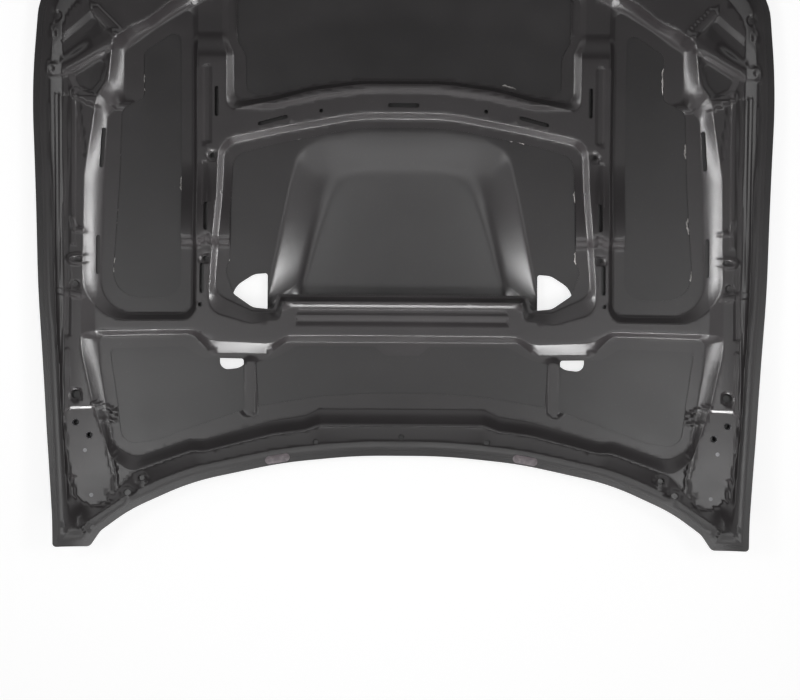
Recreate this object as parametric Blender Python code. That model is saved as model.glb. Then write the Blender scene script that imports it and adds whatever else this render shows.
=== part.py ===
"""A pressed-steel car bonnet lying on its painted side, underside up.

X runs across the car, Y runs towards the nose and Z points up from the floor. Sizes are in millimetres.
The left half is drawn and mirrored. Every sheet is a plan outline lifted onto the crown of the outer skin.
"""
import math

import bpy
import numpy as np
from mathutils import Matrix, Vector
from mathutils.geometry import delaunay_2d_cdt

MM = 0.001

# Main sizes from the plan's origin: the widest half, the nose and the middle of the rear edge
HALF_WIDTH = 738.0
NOSE = 652.0
REAR = -486.0
SIDE = -HALF_WIDTH

# Sheets and fits
SKIN_SHEET = 0.8
FRAME_SHEET = 0.8
SEAT_GAP = 0.3
HEM_WIDTH = 11.0
MASTIC_GAP = 3.0
SEAM_WIDTH = 22.0
SEAM_STEP = 28.0
SEAM_RISE = 5.0

# Crown of the outer skin
LENGTH_CROWN = 0.000125
SIDE_CROWN = 0.0001
CREST_Y = 414.0
SIDE_ROLL_WIDTH = 118.0
SIDE_ROLL = 0.00153
NOSE_ROLL_LENGTH = 117.0
NOSE_ROLL = 0.0023

# Level floor of the power bulge, measured down from the crest of the skin
BULGE_DROP = 8.0

# Heights of the inner frame above the skin
BEAM_LEVEL = 22.0
RAIL_LEVEL = 34.0
REAR_LEVEL = 24.0
REAR_RAMP_SETBACK = 34.0
REAR_RAMP_LENGTH = 120.0
PAD_LEVEL = 30.0
CROSSBAR_RISE = 7.0
JOGGLE_RISE = 9.0
ARCH_RISE = 5.0
FORE_DROP = 9.0
FORE_START = 311.0
FORE_LENGTH = 54.0
DISH_DEPTH = 5.0

# Pieces between the sheets
REINFORCEMENT_SHEET = 2.0
REINFORCEMENT_INSET = 7.0
NUT_FLATS = 13.0
NUT_HEIGHT = 6.5
SCREW_BORE = 8.4
LATCH_SHEET = 1.5
MASTIC_WIDTH = 8.0
BUFFER_LENGTH = 50.0
BUFFER_WIDTH = 16.0
BUFFER_HEIGHT = 1.6

# Mesh density
EDGE_STEP = 62.0
GRID = 62.0
FRAME_GRID = 125.0
PLAIN_GRID = 400.0
ARC_STEP = math.radians(40)
SEAM_LADDERS = 3

# Corner points of the left half as (x, y, corner radius), going round with the metal on the left hand
OUTLINE = [
    (-190, NOSE, 900), (-450, NOSE - 54, 700), (SIDE + 98, NOSE - 132, 260), (SIDE + 16, NOSE - 222, 120),
    (SIDE, 250, 1500), (SIDE + 12, -150, 2500), (SIDE + 34, REAR + 56, 2500), (SIDE + 50, REAR - 114, 900),
    (SIDE + 53, REAR - 169, 8), (SIDE + 123, REAR - 171, 12), (SIDE + 142, REAR - 142, 40),
    (SIDE + 198, REAR - 102, 300), (-420, REAR - 50, 500), (-240, REAR - 14, 900), (-90, REAR, 1200),
]
FRONT_WALL_FOOT = [
    (-150, NOSE - 144, 400), (-300, NOSE - 174, 200), (-403, NOSE - 228, 200), (SIDE + 244, NOSE - 281, 60),
    (SIDE + 206, NOSE - 310, 40),
]
FRONT_WALL_TOP = [
    (-150, NOSE - 124, 400), (-300, NOSE - 150, 200), (SIDE + 271, NOSE - 232, 60),
    (SIDE + 227, NOSE - 268, 30), (SIDE + 192, NOSE - 282, 20),
]
RAIL_FOOT = [
    (SIDE + 178, NOSE - 327, 16), (SIDE + 178, 228, 16), (SIDE + 144, 195, 22), (SIDE + 138, 60, 400),
]
RAIL_TOP = [
    (SIDE + 158, NOSE - 310, 14), (SIDE + 148, 262, 20), (SIDE + 125, 228, 26), (SIDE + 116, 168, 100),
    (SIDE + 100, 74, 120),
]
REAR_WALL_FOOT = [
    (SIDE + 133, REAR + 186, 200), (SIDE + 148, REAR + 96, 200), (SIDE + 163, REAR + 24, 26),
    (SIDE + 205, REAR - 1, 40), (-426, REAR + 34, 20), (-401, REAR + 32, 20), (-260, REAR + 70, 120),
    (-196, REAR + 80, 20), (-166, REAR + 94, 20),
]
REAR_WALL_TOP = [
    (SIDE + 99, REAR + 214, 200), (SIDE + 124, REAR + 112, 200), (SIDE + 162, REAR + 2, 24),
    (SIDE + 202, REAR - 25, 30), (-418, REAR + 15, 20), (-391, REAR + 14, 20), (-258, REAR + 47, 120),
    (-196, REAR + 54, 20), (-164, REAR + 65, 20),
]
FIELD_FOOT = FRONT_WALL_FOOT + RAIL_FOOT + [(SIDE + 124, -205, 120)] + REAR_WALL_FOOT
FIELD_TOP = FRONT_WALL_TOP + RAIL_TOP + [(SIDE + 98, -190, 200)] + REAR_WALL_TOP
SIDE_CUT = [
    (-449, NOSE - 280, 14), (SIDE + 214, NOSE - 330, 18), (SIDE + 214, 232, 14), (SIDE + 170, 207, 18),
    (SIDE + 165, 60, 300), (SIDE + 151, -170, 52), (-449, -170, 36),
]
SIDE_FOOT = [
    (-426, NOSE - 241, 10),
] + FRONT_WALL_FOOT[3:] + RAIL_FOOT + [(SIDE + 131, -203, 66), (-426, -203, 26)]
SIDE_TOP = [
    (-414, NOSE - 200, 10),
] + FRONT_WALL_TOP[2:] + RAIL_TOP + [(SIDE + 98, -214, 90), (-414, -214, 30)]
FRONT_CUT = [
    (-180, NOSE - 182, 300), (-337, NOSE - 212, 25), (-337, NOSE - 307, 20), (-320, NOSE - 334, 20),
    (-320, 236, 22), (-262, 246, 100), (-185, 265, 200), (-86, 278, 300),
]
FRONT_FOOT = [
    (-180, NOSE - 174, 300), (-354, NOSE - 208, 30), (-354, NOSE - 302, 20), (-344, NOSE - 330, 20),
    (-344, 226, 18), (-262, 240, 60), (-185, 259, 200), (-86, 272, 300),
]
FRONT_TOP = [
    (-180, NOSE - 162, 300), (-368, NOSE - 196, 30), (-368, NOSE - 300, 20), (-358, NOSE - 330, 20),
    (-358, 206, 16), (-262, 226, 60), (-185, 247, 200), (-86, 261, 300),
]
SCOOP_CUT = [
    (-90, 176, 500), (-250, 144, 200), (-346, 118, 30), (-351, 0, 300), (-352, -96, 40), (-361, -116, 14),
    (-343, -163, 16), (-304, -190, 30), (-262, -194, 8), (-254, -163, 8),
]
SCOOP_FOOT = [
    (-90, 192, 500), (-250, 162, 300), (-363, 136, 32), (-366, 40, 300), (-378, -112, 200),
    (-381, -160, 26), (-304, -197, 30), (-258, -199, 6), (-250, -167, 6),
]
SCOOP_TOP = [
    (-90, 206, 500), (-250, 176, 300), (-374, 149, 42), (-377, 40, 300), (-389, -112, 200),
    (-392, -198, 34), (-304, -222, 30), (-246, -210, 8), (-240, -176, 6),
]
REAR_FOOT = [
    (-238, REAR + 225, 16), (-268, REAR + 201, 24), (-386, REAR + 202, 26), (-424, REAR + 242, 24),
    (SIDE + 130, REAR + 238, 12),
] + REAR_WALL_FOOT
REAR_TOP = [
    (-230, REAR + 243, 16), (-262, REAR + 227, 24), (-386, REAR + 234, 26), (-420, REAR + 254, 24),
    (SIDE + 96, REAR + 252, 40),
] + REAR_WALL_TOP
REAR_LEFT_CUT = [
    (-321, REAR + 193, 5), (-404, REAR + 195, 30), (-440, REAR + 218, 24), (SIDE + 150, REAR + 214, 10),
    (SIDE + 168, REAR + 106, 300), (SIDE + 179, REAR + 24, 30), (SIDE + 246, REAR + 32, 60),
    (-317, REAR + 92, 6),
]
MIDDLE_CUT = [
    (-34, REAR + 200, 4), (-56, REAR + 218, 8), (-214, REAR + 218, 24), (-262, REAR + 193, 30),
    (-297, REAR + 186, 6), (-290, REAR + 98, 6), (-166, REAR + 118, 200), (-60, REAR + 124, 200),
]
BULGE_RIM = [(-80, 172, 400), (-168, 158, 90), (-207, 122, 60), (-232, -10, 400), (-270, -200, 6)]
BULGE_FLOOR = [(-60, 84, 300), (-112, 72, 60), (-146, 36, 60), (-182, -60, 300), (-222, -200, 6)]
MOUTH = [
    (-275, -200, 4), (-275, -121, 5), (-302, -123, 30), (-338, -146, 40), (-369, -226, 60),
    (-369, REAR + 170, 16), (-330, REAR + 174, 30), (-266, REAR + 224, 40), (-200, REAR + 246, 60),
]
CORNER_FOOT = [
    (SIDE + 44, NOSE - 326, 5), (SIDE + 62, NOSE - 321, 10), (SIDE + 122, NOSE - 268, 5),
    (SIDE + 130, NOSE - 276, 5), (SIDE + 66, NOSE - 334, 10), (SIDE + 44, NOSE - 338, 5),
]
CORNER_TOP = [
    (SIDE + 40, NOSE - 311, 8), (SIDE + 59, NOSE - 305, 10), (SIDE + 120, NOSE - 251, 8),
    (SIDE + 172, NOSE - 300, 8), (SIDE + 70, 284, 14), (SIDE + 39, NOSE - 360, 8),
]
NOTCH_FOOT = [
    (SIDE + 85, NOSE - 384, 6), (SIDE + 98, NOSE - 410, 5), (SIDE + 116, NOSE - 410, 8),
    (SIDE + 132, NOSE - 390, 10), (SIDE + 146, NOSE - 344, 6),
]
NOTCH_TOP = [
    (SIDE + 66, NOSE - 370, 8), (SIDE + 88, NOSE - 421, 8), (SIDE + 124, NOSE - 421, 12),
    (SIDE + 142, NOSE - 396, 12), (SIDE + 160, NOSE - 313, 8),
]
ARCH_CREST = [
    (-150, NOSE - 352, 60), (-330, NOSE - 362, 30), (-330, 226, 8), (-262, 220, 60), (-170, 240, 200),
    (-70, 253, 300),
]
ARCH_FOOT = [
    (-150, NOSE - 342, 60), (-345, NOSE - 352, 30), (-345, 208, 8), (-262, 210, 60), (-170, 231, 200),
    (-70, 244, 300),
]
CROSSBAR_CREST = [(-236, -174.5, 1), (-236, -178, 1)]
CROSSBAR_FOOT = [(-250, -168, 3), (-262, -206, 4), (-224, -189, 6)]
PAD = [
    (SIDE + 74, REAR + 96, 12), (SIDE + 126, REAR + 101, 8), (SIDE + 149, REAR + 34, 100),
    (SIDE + 167, REAR - 34, 30), (SIDE + 158, REAR - 81, 14), (SIDE + 130, REAR - 87, 14),
    (SIDE + 104, REAR - 76, 16), (SIDE + 83, REAR - 4, 120),
]
PAD_EDGE = 6.0
CORNER_LEVEL = 14.0
NOTCH_LEVEL = 16.0

# Slots as (x, y, length, width, direction in degrees)
SLOTS = [
    (-377, 225, 60, 8, 90), (-397, -5, 56, 10, 90), (-405, -130, 60, 9, 90), (SIDE + 133, 130, 80, 7, 86),
    (SIDE + 125, -84, 78, 7, 90), (-264, 188, 62, 8, 15),
]
CENTRE_SLOT = (0, 220, 64, 9, 0)
# Round holes as (x, y, diameter)
HOLES = [
    (-407, -183, 9), (-386, 117, 9), (-399, -90, 9), (-167, 208, 8), (-173, REAR + 29, 12),
    (SIDE + 220, REAR - 39, 12), (SIDE + 192, REAR - 68, 13), (SIDE + 92, REAR + 128, 17),
    (SIDE + 113, REAR + 19, 8), (SIDE + 128, REAR - 67, 8),
]
CENTRE_HOLE = (0, REAR + 39, 12)
SCREW_HOLES = [(SIDE + 93, REAR + 73), (SIDE + 120, REAR + 48)]
SCREW_HOLE = 14.0
# Pressed dishes as (x, y, diameter)
DISHES = [
    (-386, 117, 24), (-399, -90, 24), (SIDE + 220, REAR - 39, 32), (SIDE + 192, REAR - 68, 36),
    (SIDE + 92, REAR + 128, 30),
]
JOGGLE_FOOT = [(-446, -62), (-346, -62)]
JOGGLE_CREST = [(-446, -30), (-346, -30)]
JOGGLE_TAIL_Y = 70.0

# Mastic pads as (x, y, length, direction in degrees), on the left and on the right
MASTIC_LEFT = [
    (SIDE + 166, 120, 30, 88), (SIDE + 160, -10, 34, 86), (SIDE + 155, -105, 30, 86),
    (SIDE + 214, 262, 34, 90), (-218, 151, 30, 12), (-351, 42, 26, 90), (-353, -84, 26, 90),
    (-150, REAR + 220, 34, 0), (-449, 60, 30, 90),
]
MASTIC_RIGHT = [
    (HALF_WIDTH - 214, 270, 54, 90), (HALF_WIDTH - 167, 130, 30, 92), (HALF_WIDTH - 161, -20, 34, 94),
    (HALF_WIDTH - 153, -125, 30, 94), (232, 148, 30, -12), (351, 38, 26, 90), (353, -86, 26, 90),
    (170, REAR + 220, 34, 0), (214, 258, 30, -15), (449, -40, 30, 90),
]
BUFFER_PLACE = (-250, REAR - 6, 9)
LATCH_PLATE = [(-90, NOSE - 60, 14), (-90, NOSE - 104, 14)]


def mirrored(half):
    """The whole loop of a left half that starts and ends at the centre line."""
    return half + [(-x, y, r) for x, y, r in reversed(half)]


def unit(vector):
    return vector / np.hypot(*vector)


def offset_corner(before, corner, after, grow):
    """A corner of an anticlockwise loop moved outwards, so that both its sides lie that much further out."""
    first, second = unit(corner - before), unit(after - corner)
    normal_1 = np.array([first[1], -first[0]])
    normal_2 = np.array([second[1], -second[0]])
    return corner + grow * (normal_1 + normal_2) / (1 + normal_1 @ normal_2)


def loop_points(corners, grow=0.0, step=EDGE_STEP, arc_step=ARC_STEP):
    """Points round a loop of filleted corners. A grown copy has the same number of points."""
    base = np.array([c[:2] for c in corners], float)
    count = len(base)
    moved = [offset_corner(base[i - 1], base[i], base[(i + 1) % count], grow) for i in range(count)]
    arcs, grown = [], []
    for i, corner in enumerate(corners):
        n = (i + 1) % count
        plain, parts = corner_arc(base[i - 1], base[i], base[n], corner[2], step, arc_step)
        arcs.append(plain)
        grown.append(corner_arc(moved[i - 1], moved[i], moved[n], corner[2], step, arc_step, grow, parts)[0])
    plan = []
    for i in range(count):
        n = (i + 1) % count
        plan += grown[i]
        parts = max(1, round(np.hypot(*(arcs[n][0] - arcs[i][-1])) / step))
        plan += [grown[i][-1] + (grown[n][0] - grown[i][-1]) * k / parts for k in range(1, parts)]
    return np.array(plan)


def corner_arc(before, corner, after, radius, step, arc_step, grow=0.0, parts=0):
    """Points of the fillet at one corner, from tangent point to tangent point, and its number of parts."""
    inward, outward = unit(before - corner), unit(after - corner)
    first, second = -inward, outward
    turn = math.atan2(first[0] * second[1] - first[1] * second[0], first @ second)
    size = radius + (grow if turn > 0 else -grow)
    reach = abs(math.tan(turn / 2)) * max(size, 0.6)
    room = 0.46 * min(np.hypot(*(before - corner)), np.hypot(*(after - corner)))
    reach = min(reach, room)
    start, end = corner + inward * reach, corner + outward * reach
    parts = parts or max(1, math.ceil(abs(turn) / arc_step), round(np.hypot(*(end - start)) / step))
    bend = math.cos(turn / 2)
    rows = []
    for k in range(parts + 1):
        t = k / parts
        weights = np.array([(1 - t) ** 2, 2 * t * (1 - t) * bend, t * t])
        rows.append((weights[0] * start + weights[1] * corner + weights[2] * end) / weights.sum())
    return rows, parts


def loop_distance(x, y, loop):
    """Signed distance from points to a loop, positive inside."""
    p = np.stack([np.ravel(x), np.ravel(y)], axis=1)[:, None, :]
    a = loop[None, :, :]
    b = np.roll(loop, -1, axis=0)[None, :, :]
    along = b - a
    t = np.clip(((p - a) * along).sum(2) / (along ** 2).sum(2), 0, 1)
    away = np.sqrt((((a + along * t[:, :, None]) - p) ** 2).sum(2)).min(1)
    crosses = (a[:, :, 1] > p[:, :, 1]) != (b[:, :, 1] > p[:, :, 1])
    rise = np.where(b[:, :, 1] == a[:, :, 1], 1.0, b[:, :, 1] - a[:, :, 1])
    cut_x = a[:, :, 0] + (p[:, :, 1] - a[:, :, 1]) * (b[:, :, 0] - a[:, :, 0]) / rise
    inside = (crosses & (p[:, :, 0] < cut_x)).sum(1) % 2 == 1
    return np.where(inside, away, -away).reshape(np.shape(x))


def between(x, y, foot, top):
    """0 inside the foot loop, 1 outside the wider top loop and a straight ramp between them."""
    low = np.maximum(-loop_distance(x, y, foot), 0)
    high = np.maximum(loop_distance(x, y, top), 0)
    return low / np.maximum(low + high, 1e-9)


def ease(t):
    t = np.clip(t, 0, 1)
    return t * t * (3 - 2 * t)


def make_loops():
    """The plan loops that shape the sheets, by name."""
    halves = {
        "outline": OUTLINE, "field_foot": FIELD_FOOT, "field_top": FIELD_TOP, "front_cut": FRONT_CUT,
        "front_foot": FRONT_FOOT, "front_top": FRONT_TOP, "scoop_cut": SCOOP_CUT, "scoop_foot": SCOOP_FOOT,
        "scoop_top": SCOOP_TOP, "rear_foot": REAR_FOOT, "rear_top": REAR_TOP, "middle_cut": MIDDLE_CUT,
        "bulge_rim": BULGE_RIM, "bulge_floor": BULGE_FLOOR, "mouth": MOUTH, "crest": CROSSBAR_CREST,
        "crossbar": CROSSBAR_FOOT, "arch_crest": ARCH_CREST, "arch_foot": ARCH_FOOT, "latch": LATCH_PLATE,
    }
    sides = {
        "side_cut": SIDE_CUT, "side_foot": SIDE_FOOT, "side_top": SIDE_TOP, "rear_left_cut": REAR_LEFT_CUT,
        "corner_foot": CORNER_FOOT, "corner_top": CORNER_TOP, "notch_foot": NOTCH_FOOT,
        "notch_top": NOTCH_TOP, "pad": PAD,
    }
    loops = {name: loop_points(mirrored(half)) for name, half in halves.items()}
    loops.update({name: loop_points(anticlockwise(corners)) for name, corners in sides.items()})
    whole = mirrored(OUTLINE)
    loops["frame_edge"] = loop_points(whole, -(SKIN_SHEET + SEAT_GAP))
    loops["skin_inside"] = loop_points(whole, -SKIN_SHEET)
    loops["hem_edge"] = loop_points(whole, -HEM_WIDTH)
    loops["seam_foot"] = loop_points(whole, -SEAM_WIDTH)
    loops["seam_top"] = loop_points(whole, -SEAM_STEP)
    loops["slope_top"] = loop_points(mirrored(slope_top()))
    loops["pad_foot"] = loop_points(anticlockwise(PAD), PAD_EDGE)
    return loops


def anticlockwise(corners):
    area = sum(a[0] * b[1] - b[0] * a[1] for a, b in zip(corners, corners[1:] + corners[:1]))
    return corners if area > 0 else list(reversed(corners))


def slope_top():
    """Where the outer slope of the frame reaches its full height, from the nose to the rear centre."""
    nose = [(-150, NOSE - 62, 500), (-430, NOSE - 112, 300), (SIDE + 128, NOSE - 192, 80)]
    side = [(SIDE + 66, NOSE - 272, 60), (SIDE + 66, 100, 400), (SIDE + 70, REAR + 106, 100)]
    corner = [(SIDE + 88, REAR - 74, 30), (SIDE + 138, REAR - 94, 30), (SIDE + 172, REAR - 64, 20)]
    return nose + side + corner + REAR_WALL_TOP[3:]


def skin_z(x, y):
    """Height of the upper face of the outer skin without its bulge."""
    across = np.abs(x)
    side = np.maximum(across - (HALF_WIDTH - SIDE_ROLL_WIDTH), 0)
    nose = np.maximum(y - (NOSE - NOSE_ROLL_LENGTH), 0)
    crown = LENGTH_CROWN * (y - CREST_Y) ** 2 + SIDE_CROWN * across ** 2
    return SKIN_SHEET + crown + SIDE_ROLL * side ** 2 + NOSE_ROLL * nose ** 2


def bulged_z(x, y):
    """Height of the upper face of the outer skin with the bulge pressed away from the viewer."""
    inside = ease(1 - between(x, y, LOOPS["bulge_floor"], LOOPS["bulge_rim"]))
    return skin_z(x, y) * (1 - inside) + (SKIN_SHEET - BULGE_DROP) * inside


def raised(x, y, rise, crest, foot):
    return rise * (1 - between(x, y, crest, foot))


def joggle(x, y):
    """The hump that lets each long beam drop towards the crossbeam."""
    along = np.where(
        y < JOGGLE_CREST[0][1],
        (y - JOGGLE_FOOT[0][1]) / (JOGGLE_CREST[0][1] - JOGGLE_FOOT[0][1]),
        (JOGGLE_TAIL_Y - y) / (JOGGLE_TAIL_Y - JOGGLE_CREST[0][1]),
    )
    across = (x > JOGGLE_FOOT[0][0]) & (x < JOGGLE_FOOT[1][0])
    return JOGGLE_RISE * np.clip(along, 0, 1) * across


def frame_height(x, y):
    """Height of the frame's lower face above the skin."""
    x = -np.abs(x)
    ramp = ease((y - REAR + REAR_RAMP_SETBACK) / REAR_RAMP_LENGTH)
    h = REAR_LEVEL + (RAIL_LEVEL - REAR_LEVEL) * ramp
    beam = BEAM_LEVEL - FORE_DROP * ease((y - FORE_START) / FORE_LENGTH)
    beam = beam + raised(x, y, ARCH_RISE, LOOPS["arch_crest"], LOOPS["arch_foot"])
    h = beam + (h - beam) * between(x, y, LOOPS["field_foot"], LOOPS["field_top"])
    for level, foot, top in (
        (CORNER_LEVEL, "corner_foot", "corner_top"),
        (NOTCH_LEVEL, "notch_foot", "notch_top"),
    ):
        h = level + (h - level) * between(x, y, LOOPS[foot], LOOPS[top])
    slope = 1 - between(x, y, LOOPS["slope_top"], LOOPS["seam_top"])
    h = SEAM_RISE + (h - SEAM_RISE) * slope
    h = h + raised(x, y, CROSSBAR_RISE, LOOPS["crest"], LOOPS["crossbar"])
    for name in ("side", "front", "scoop", "rear"):
        s = between(x, y, LOOPS[name + "_foot"], LOOPS[name + "_top"])
        h = MASTIC_GAP + (h - MASTIC_GAP) * s
    h = h + joggle(x, y)
    for cx, cy, size in DISHES:
        away = np.hypot(x - cx, y - cy)
        h = h - DISH_DEPTH * ease((size / 2 - away) / (size / 4))
    seam = 1 - between(x, y, LOOPS["seam_top"], LOOPS["seam_foot"])
    return SEAT_GAP + (h - SEAT_GAP) * seam


def pad_plane(x, y):
    """The flat face of the hinge pad, level with the frame's lower face at the middle of the pad."""
    middle = np.array([c[:2] for c in PAD], float).mean(axis=0)
    across, along = -np.abs(x) - middle[0], y - middle[1]
    slope_y = 2 * LENGTH_CROWN * (middle[1] - CREST_Y)
    slope_x = 2 * SIDE_CROWN * middle[0]
    return skin_z(middle[0], middle[1]) + PAD_LEVEL + slope_x * across + slope_y * along


def frame_z(x, y):
    """Height of the frame's lower face."""
    z = skin_z(x, y) + frame_height(x, y)
    blend = between(-np.abs(x), y, LOOPS["pad"], LOOPS["pad_foot"])
    return pad_plane(x, y) + (z - pad_plane(x, y)) * blend


def circle(x, y, diameter, sides=8):
    turn = [2 * math.pi * (k + 0.5) / sides for k in range(sides)]
    return np.array([(x + diameter / 2 * math.cos(a), y + diameter / 2 * math.sin(a)) for a in turn])


def capsule(x, y, length, width, direction, ends=3):
    """A slot outline with round ends."""
    angle = math.radians(direction)
    along = np.array([math.cos(angle), math.sin(angle)])
    across = np.array([-math.sin(angle), math.cos(angle)])
    rows = []
    for side in (1, -1):
        centre = np.array([x, y]) + side * along * (length - width) / 2
        for k in range(ends + 1):
            a = -math.pi / 2 + math.pi * k / ends
            rows.append(centre + side * width / 2 * (math.cos(a) * along + math.sin(a) * across))
    return np.array(rows)


def flipped(loop):
    return loop[::-1] * np.array([-1.0, 1.0])


def frame_holes():
    """Everything that is cut through the inner frame."""
    left = [LOOPS["side_cut"], LOOPS["rear_left_cut"]]
    left += [capsule(*slot) for slot in SLOTS]
    left += [circle(*hole) for hole in HOLES]
    left += [circle(x, y, SCREW_HOLE) for x, y in SCREW_HOLES]
    middle = [LOOPS["front_cut"], LOOPS["scoop_cut"], LOOPS["middle_cut"]]
    middle += [capsule(*CENTRE_SLOT), circle(*CENTRE_HOLE)]
    return left + [flipped(loop) for loop in left] + middle


def frame_lines():
    """Loops and lines along which the frame's mesh is bent."""
    centre = ["hem_edge", "seam_foot", "seam_top", "slope_top", "field_foot", "field_top"]
    centre += ["crest", "crossbar", "arch_crest", "arch_foot"]
    centre += [name + end for name in ("front", "scoop", "rear") for end in ("_foot", "_top")]
    left = ["side_foot", "side_top", "corner_foot", "corner_top", "notch_foot", "notch_top"]
    left += ["pad", "pad_foot"]
    loops = [LOOPS[name] for name in centre] + [LOOPS[name] for name in left]
    loops += [flipped(LOOPS[name]) for name in left]
    for x, y, size in DISHES:
        ring = circle(x, y, size)
        loops += [ring, flipped(ring)]
    return loops


def gather(loops, points):
    """Adds each loop's points to the list and gives back their indices, loop by loop."""
    rows = []
    for loop in loops:
        rows.append(list(range(len(points), len(points) + len(loop))))
        points += [tuple(p) for p in loop]
    return rows


def grid_points(spacing, border, holes):
    """Grid points inside the border, clear of every loop."""
    reach = spacing * math.ceil(np.abs(border).max() / spacing)
    steps = np.arange(-reach, reach + 1, spacing)
    x, y = (g.ravel() for g in np.meshgrid(steps, steps))
    keep = loop_distance(x, y, border) > spacing * 0.5
    for hole in holes:
        keep &= loop_distance(x, y, hole) < -spacing * 0.2
    return x[keep], y[keep]


def plan_mesh(border, lines, holes, spacing=GRID, ladders=0):
    """Points and triangles of a plan region, with its inner lines kept as edges.

    The border and the first inner lines, as many as there are ladders, are joined point by point.
    """
    points = []
    regions = gather([border] + holes, points)
    rows = gather(lines, points)
    edges = [(row[k - 1], row[k]) for row in rows for k in range(len(row))]
    for outer, inner in zip((regions[:1] + rows)[:ladders], rows):
        edges += [(outer[k - 1], inner[k]) for k in range(len(outer))]
        edges += [(outer[k], inner[k]) for k in range(len(outer))]
    gx, gy = grid_points(spacing, border, holes)
    points += list(zip(gx, gy))
    flat = [Vector((float(px), float(py))) for px, py in points]
    verts, _, faces, _, _, sources = delaunay_2d_cdt(flat, edges, regions, 0, 0.02)
    kept = [upward(face, verts) for face, source in zip(faces, sources) if list(source) == [0]]
    used = sorted({i for face in kept for i in face})
    index = {old: new for new, old in enumerate(used)}
    plan = np.array([tuple(verts[i]) for i in used])
    return plan, np.array([[index[i] for i in face] for face in kept])


def upward(face, verts):
    a, b, c = (verts[i] for i in face)
    area = (b - a).cross(c - a)
    return face if area > 0 else face[::-1]


def open_edges(faces):
    """Directed edges that only one triangle has."""
    ends = np.concatenate([faces[:, [0, 1]], faces[:, [1, 2]], faces[:, [2, 0]]])
    known = {tuple(e) for e in ends}
    return [tuple(e) for e in ends if (e[1], e[0]) not in known]


def sheet_mesh(verts, faces, low, high):
    """A closed sheet between two heights over the same plan."""
    count = len(verts)
    points = np.concatenate([np.column_stack([verts, low]), np.column_stack([verts, high])])
    all_faces = [tuple(f) for f in faces[:, ::-1]] + [tuple(f + count) for f in faces]
    all_faces += [(a, b, b + count, a + count) for a, b in open_edges(faces)]
    return points, all_faces


def make_material(name, colour, metallic, roughness):
    material = bpy.data.materials.new(name)
    material.use_nodes = True
    shader = material.node_tree.nodes["Principled BSDF"]
    shader.inputs["Base Color"].default_value = (*colour, 1)
    shader.inputs["Metallic"].default_value = metallic
    shader.inputs["Roughness"].default_value = roughness
    return material


def add_object(name, points, faces, finish, smooth=True):
    """One object from points in millimetres."""
    mesh = bpy.data.meshes.new(name)
    corners = [tuple(float(v) * MM for v in point) for point in points]
    mesh.from_pydata(corners, [], [tuple(int(i) for i in face) for face in faces])
    mesh.validate()
    obj = bpy.data.objects.new(name, mesh)
    bpy.context.scene.collection.objects.link(obj)
    mesh.materials.append(make_material(name, *finish))
    if smooth:
        mesh.shade_smooth()
        mesh.set_sharp_from_angle(angle=math.radians(28))
    return obj


def add_sheet(name, loop, height, thickness, finish, holes=(), lines=(), spacing=GRID, ladders=0):
    """A plate that follows a height function over its plan loop."""
    verts, faces = plan_mesh(loop, list(lines), list(holes), spacing, ladders)
    low = height(verts[:, 0], verts[:, 1])
    points, all_faces = sheet_mesh(verts, faces, low, low + thickness)
    return add_object(name, points, all_faces, finish)


def build_frame():
    cuts, bends = frame_holes(), frame_lines()
    edge = LOOPS["frame_edge"]
    add_sheet("inner_frame", edge, frame_z, FRAME_SHEET, PRIMED, cuts, bends, FRAME_GRID, SEAM_LADDERS)


def build_skin():
    """The outer skin with its rim turned up and folded over the frame's edge."""
    inner = LOOPS["skin_inside"]
    lines = [LOOPS[name] for name in ("hem_edge", "seam_foot", "seam_top", "bulge_rim", "bulge_floor")]
    verts, faces = plan_mesh(inner, lines, [LOOPS["mouth"]], GRID, SEAM_LADDERS)
    top = bulged_z(verts[:, 0], verts[:, 1])
    points, all_faces = sheet_mesh(verts, faces, top - SKIN_SHEET, top)
    count = len(verts)
    chain = rim_chain(verts, faces, inner)
    low, high = [int(i) for i in chain], [int(i) + count for i in chain]
    points, all_faces = fold_hem(list(map(tuple, points)), all_faces, low, high)
    add_object("outer_skin", points, all_faces, PAINTED)


def rim_chain(verts, faces, rim):
    """Indices of the rim's points in the mesh, in the rim's own order."""
    away = np.hypot(verts[:, None, 0] - rim[None, :, 0], verts[:, None, 1] - rim[None, :, 1])
    return away.argmin(axis=0)


def fold_hem(points, faces, low, high):
    """Replaces the sheet's plain edge by the hem: out, up, in and back down to the sheet."""
    rim = {frozenset((a, b)) for a, b in zip(low, low[1:] + low[:1])}
    faces = [f for f in faces if not (len(f) == 4 and frozenset((f[0], f[1])) in rim)]
    rings = [low]
    top = 2 * SEAT_GAP + FRAME_SHEET + SKIN_SHEET
    for name, rise in (
        ("outline", -SKIN_SHEET), ("outline", top), ("hem_edge", top), ("hem_edge", top - SKIN_SHEET),
        ("skin_inside", top - SKIN_SHEET),
    ):
        ring = []
        for x, y in LOOPS[name]:
            ring.append(len(points))
            points.append((x, y, float(skin_z(x, y)) + rise))
        rings.append(ring)
    rings.append(high)
    for first, second in zip(rings, rings[1:]):
        for k in range(len(first)):
            n = (k + 1) % len(first)
            faces += [(first[k], first[n], second[k]), (first[n], second[n], second[k])]
    return points, faces


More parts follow.
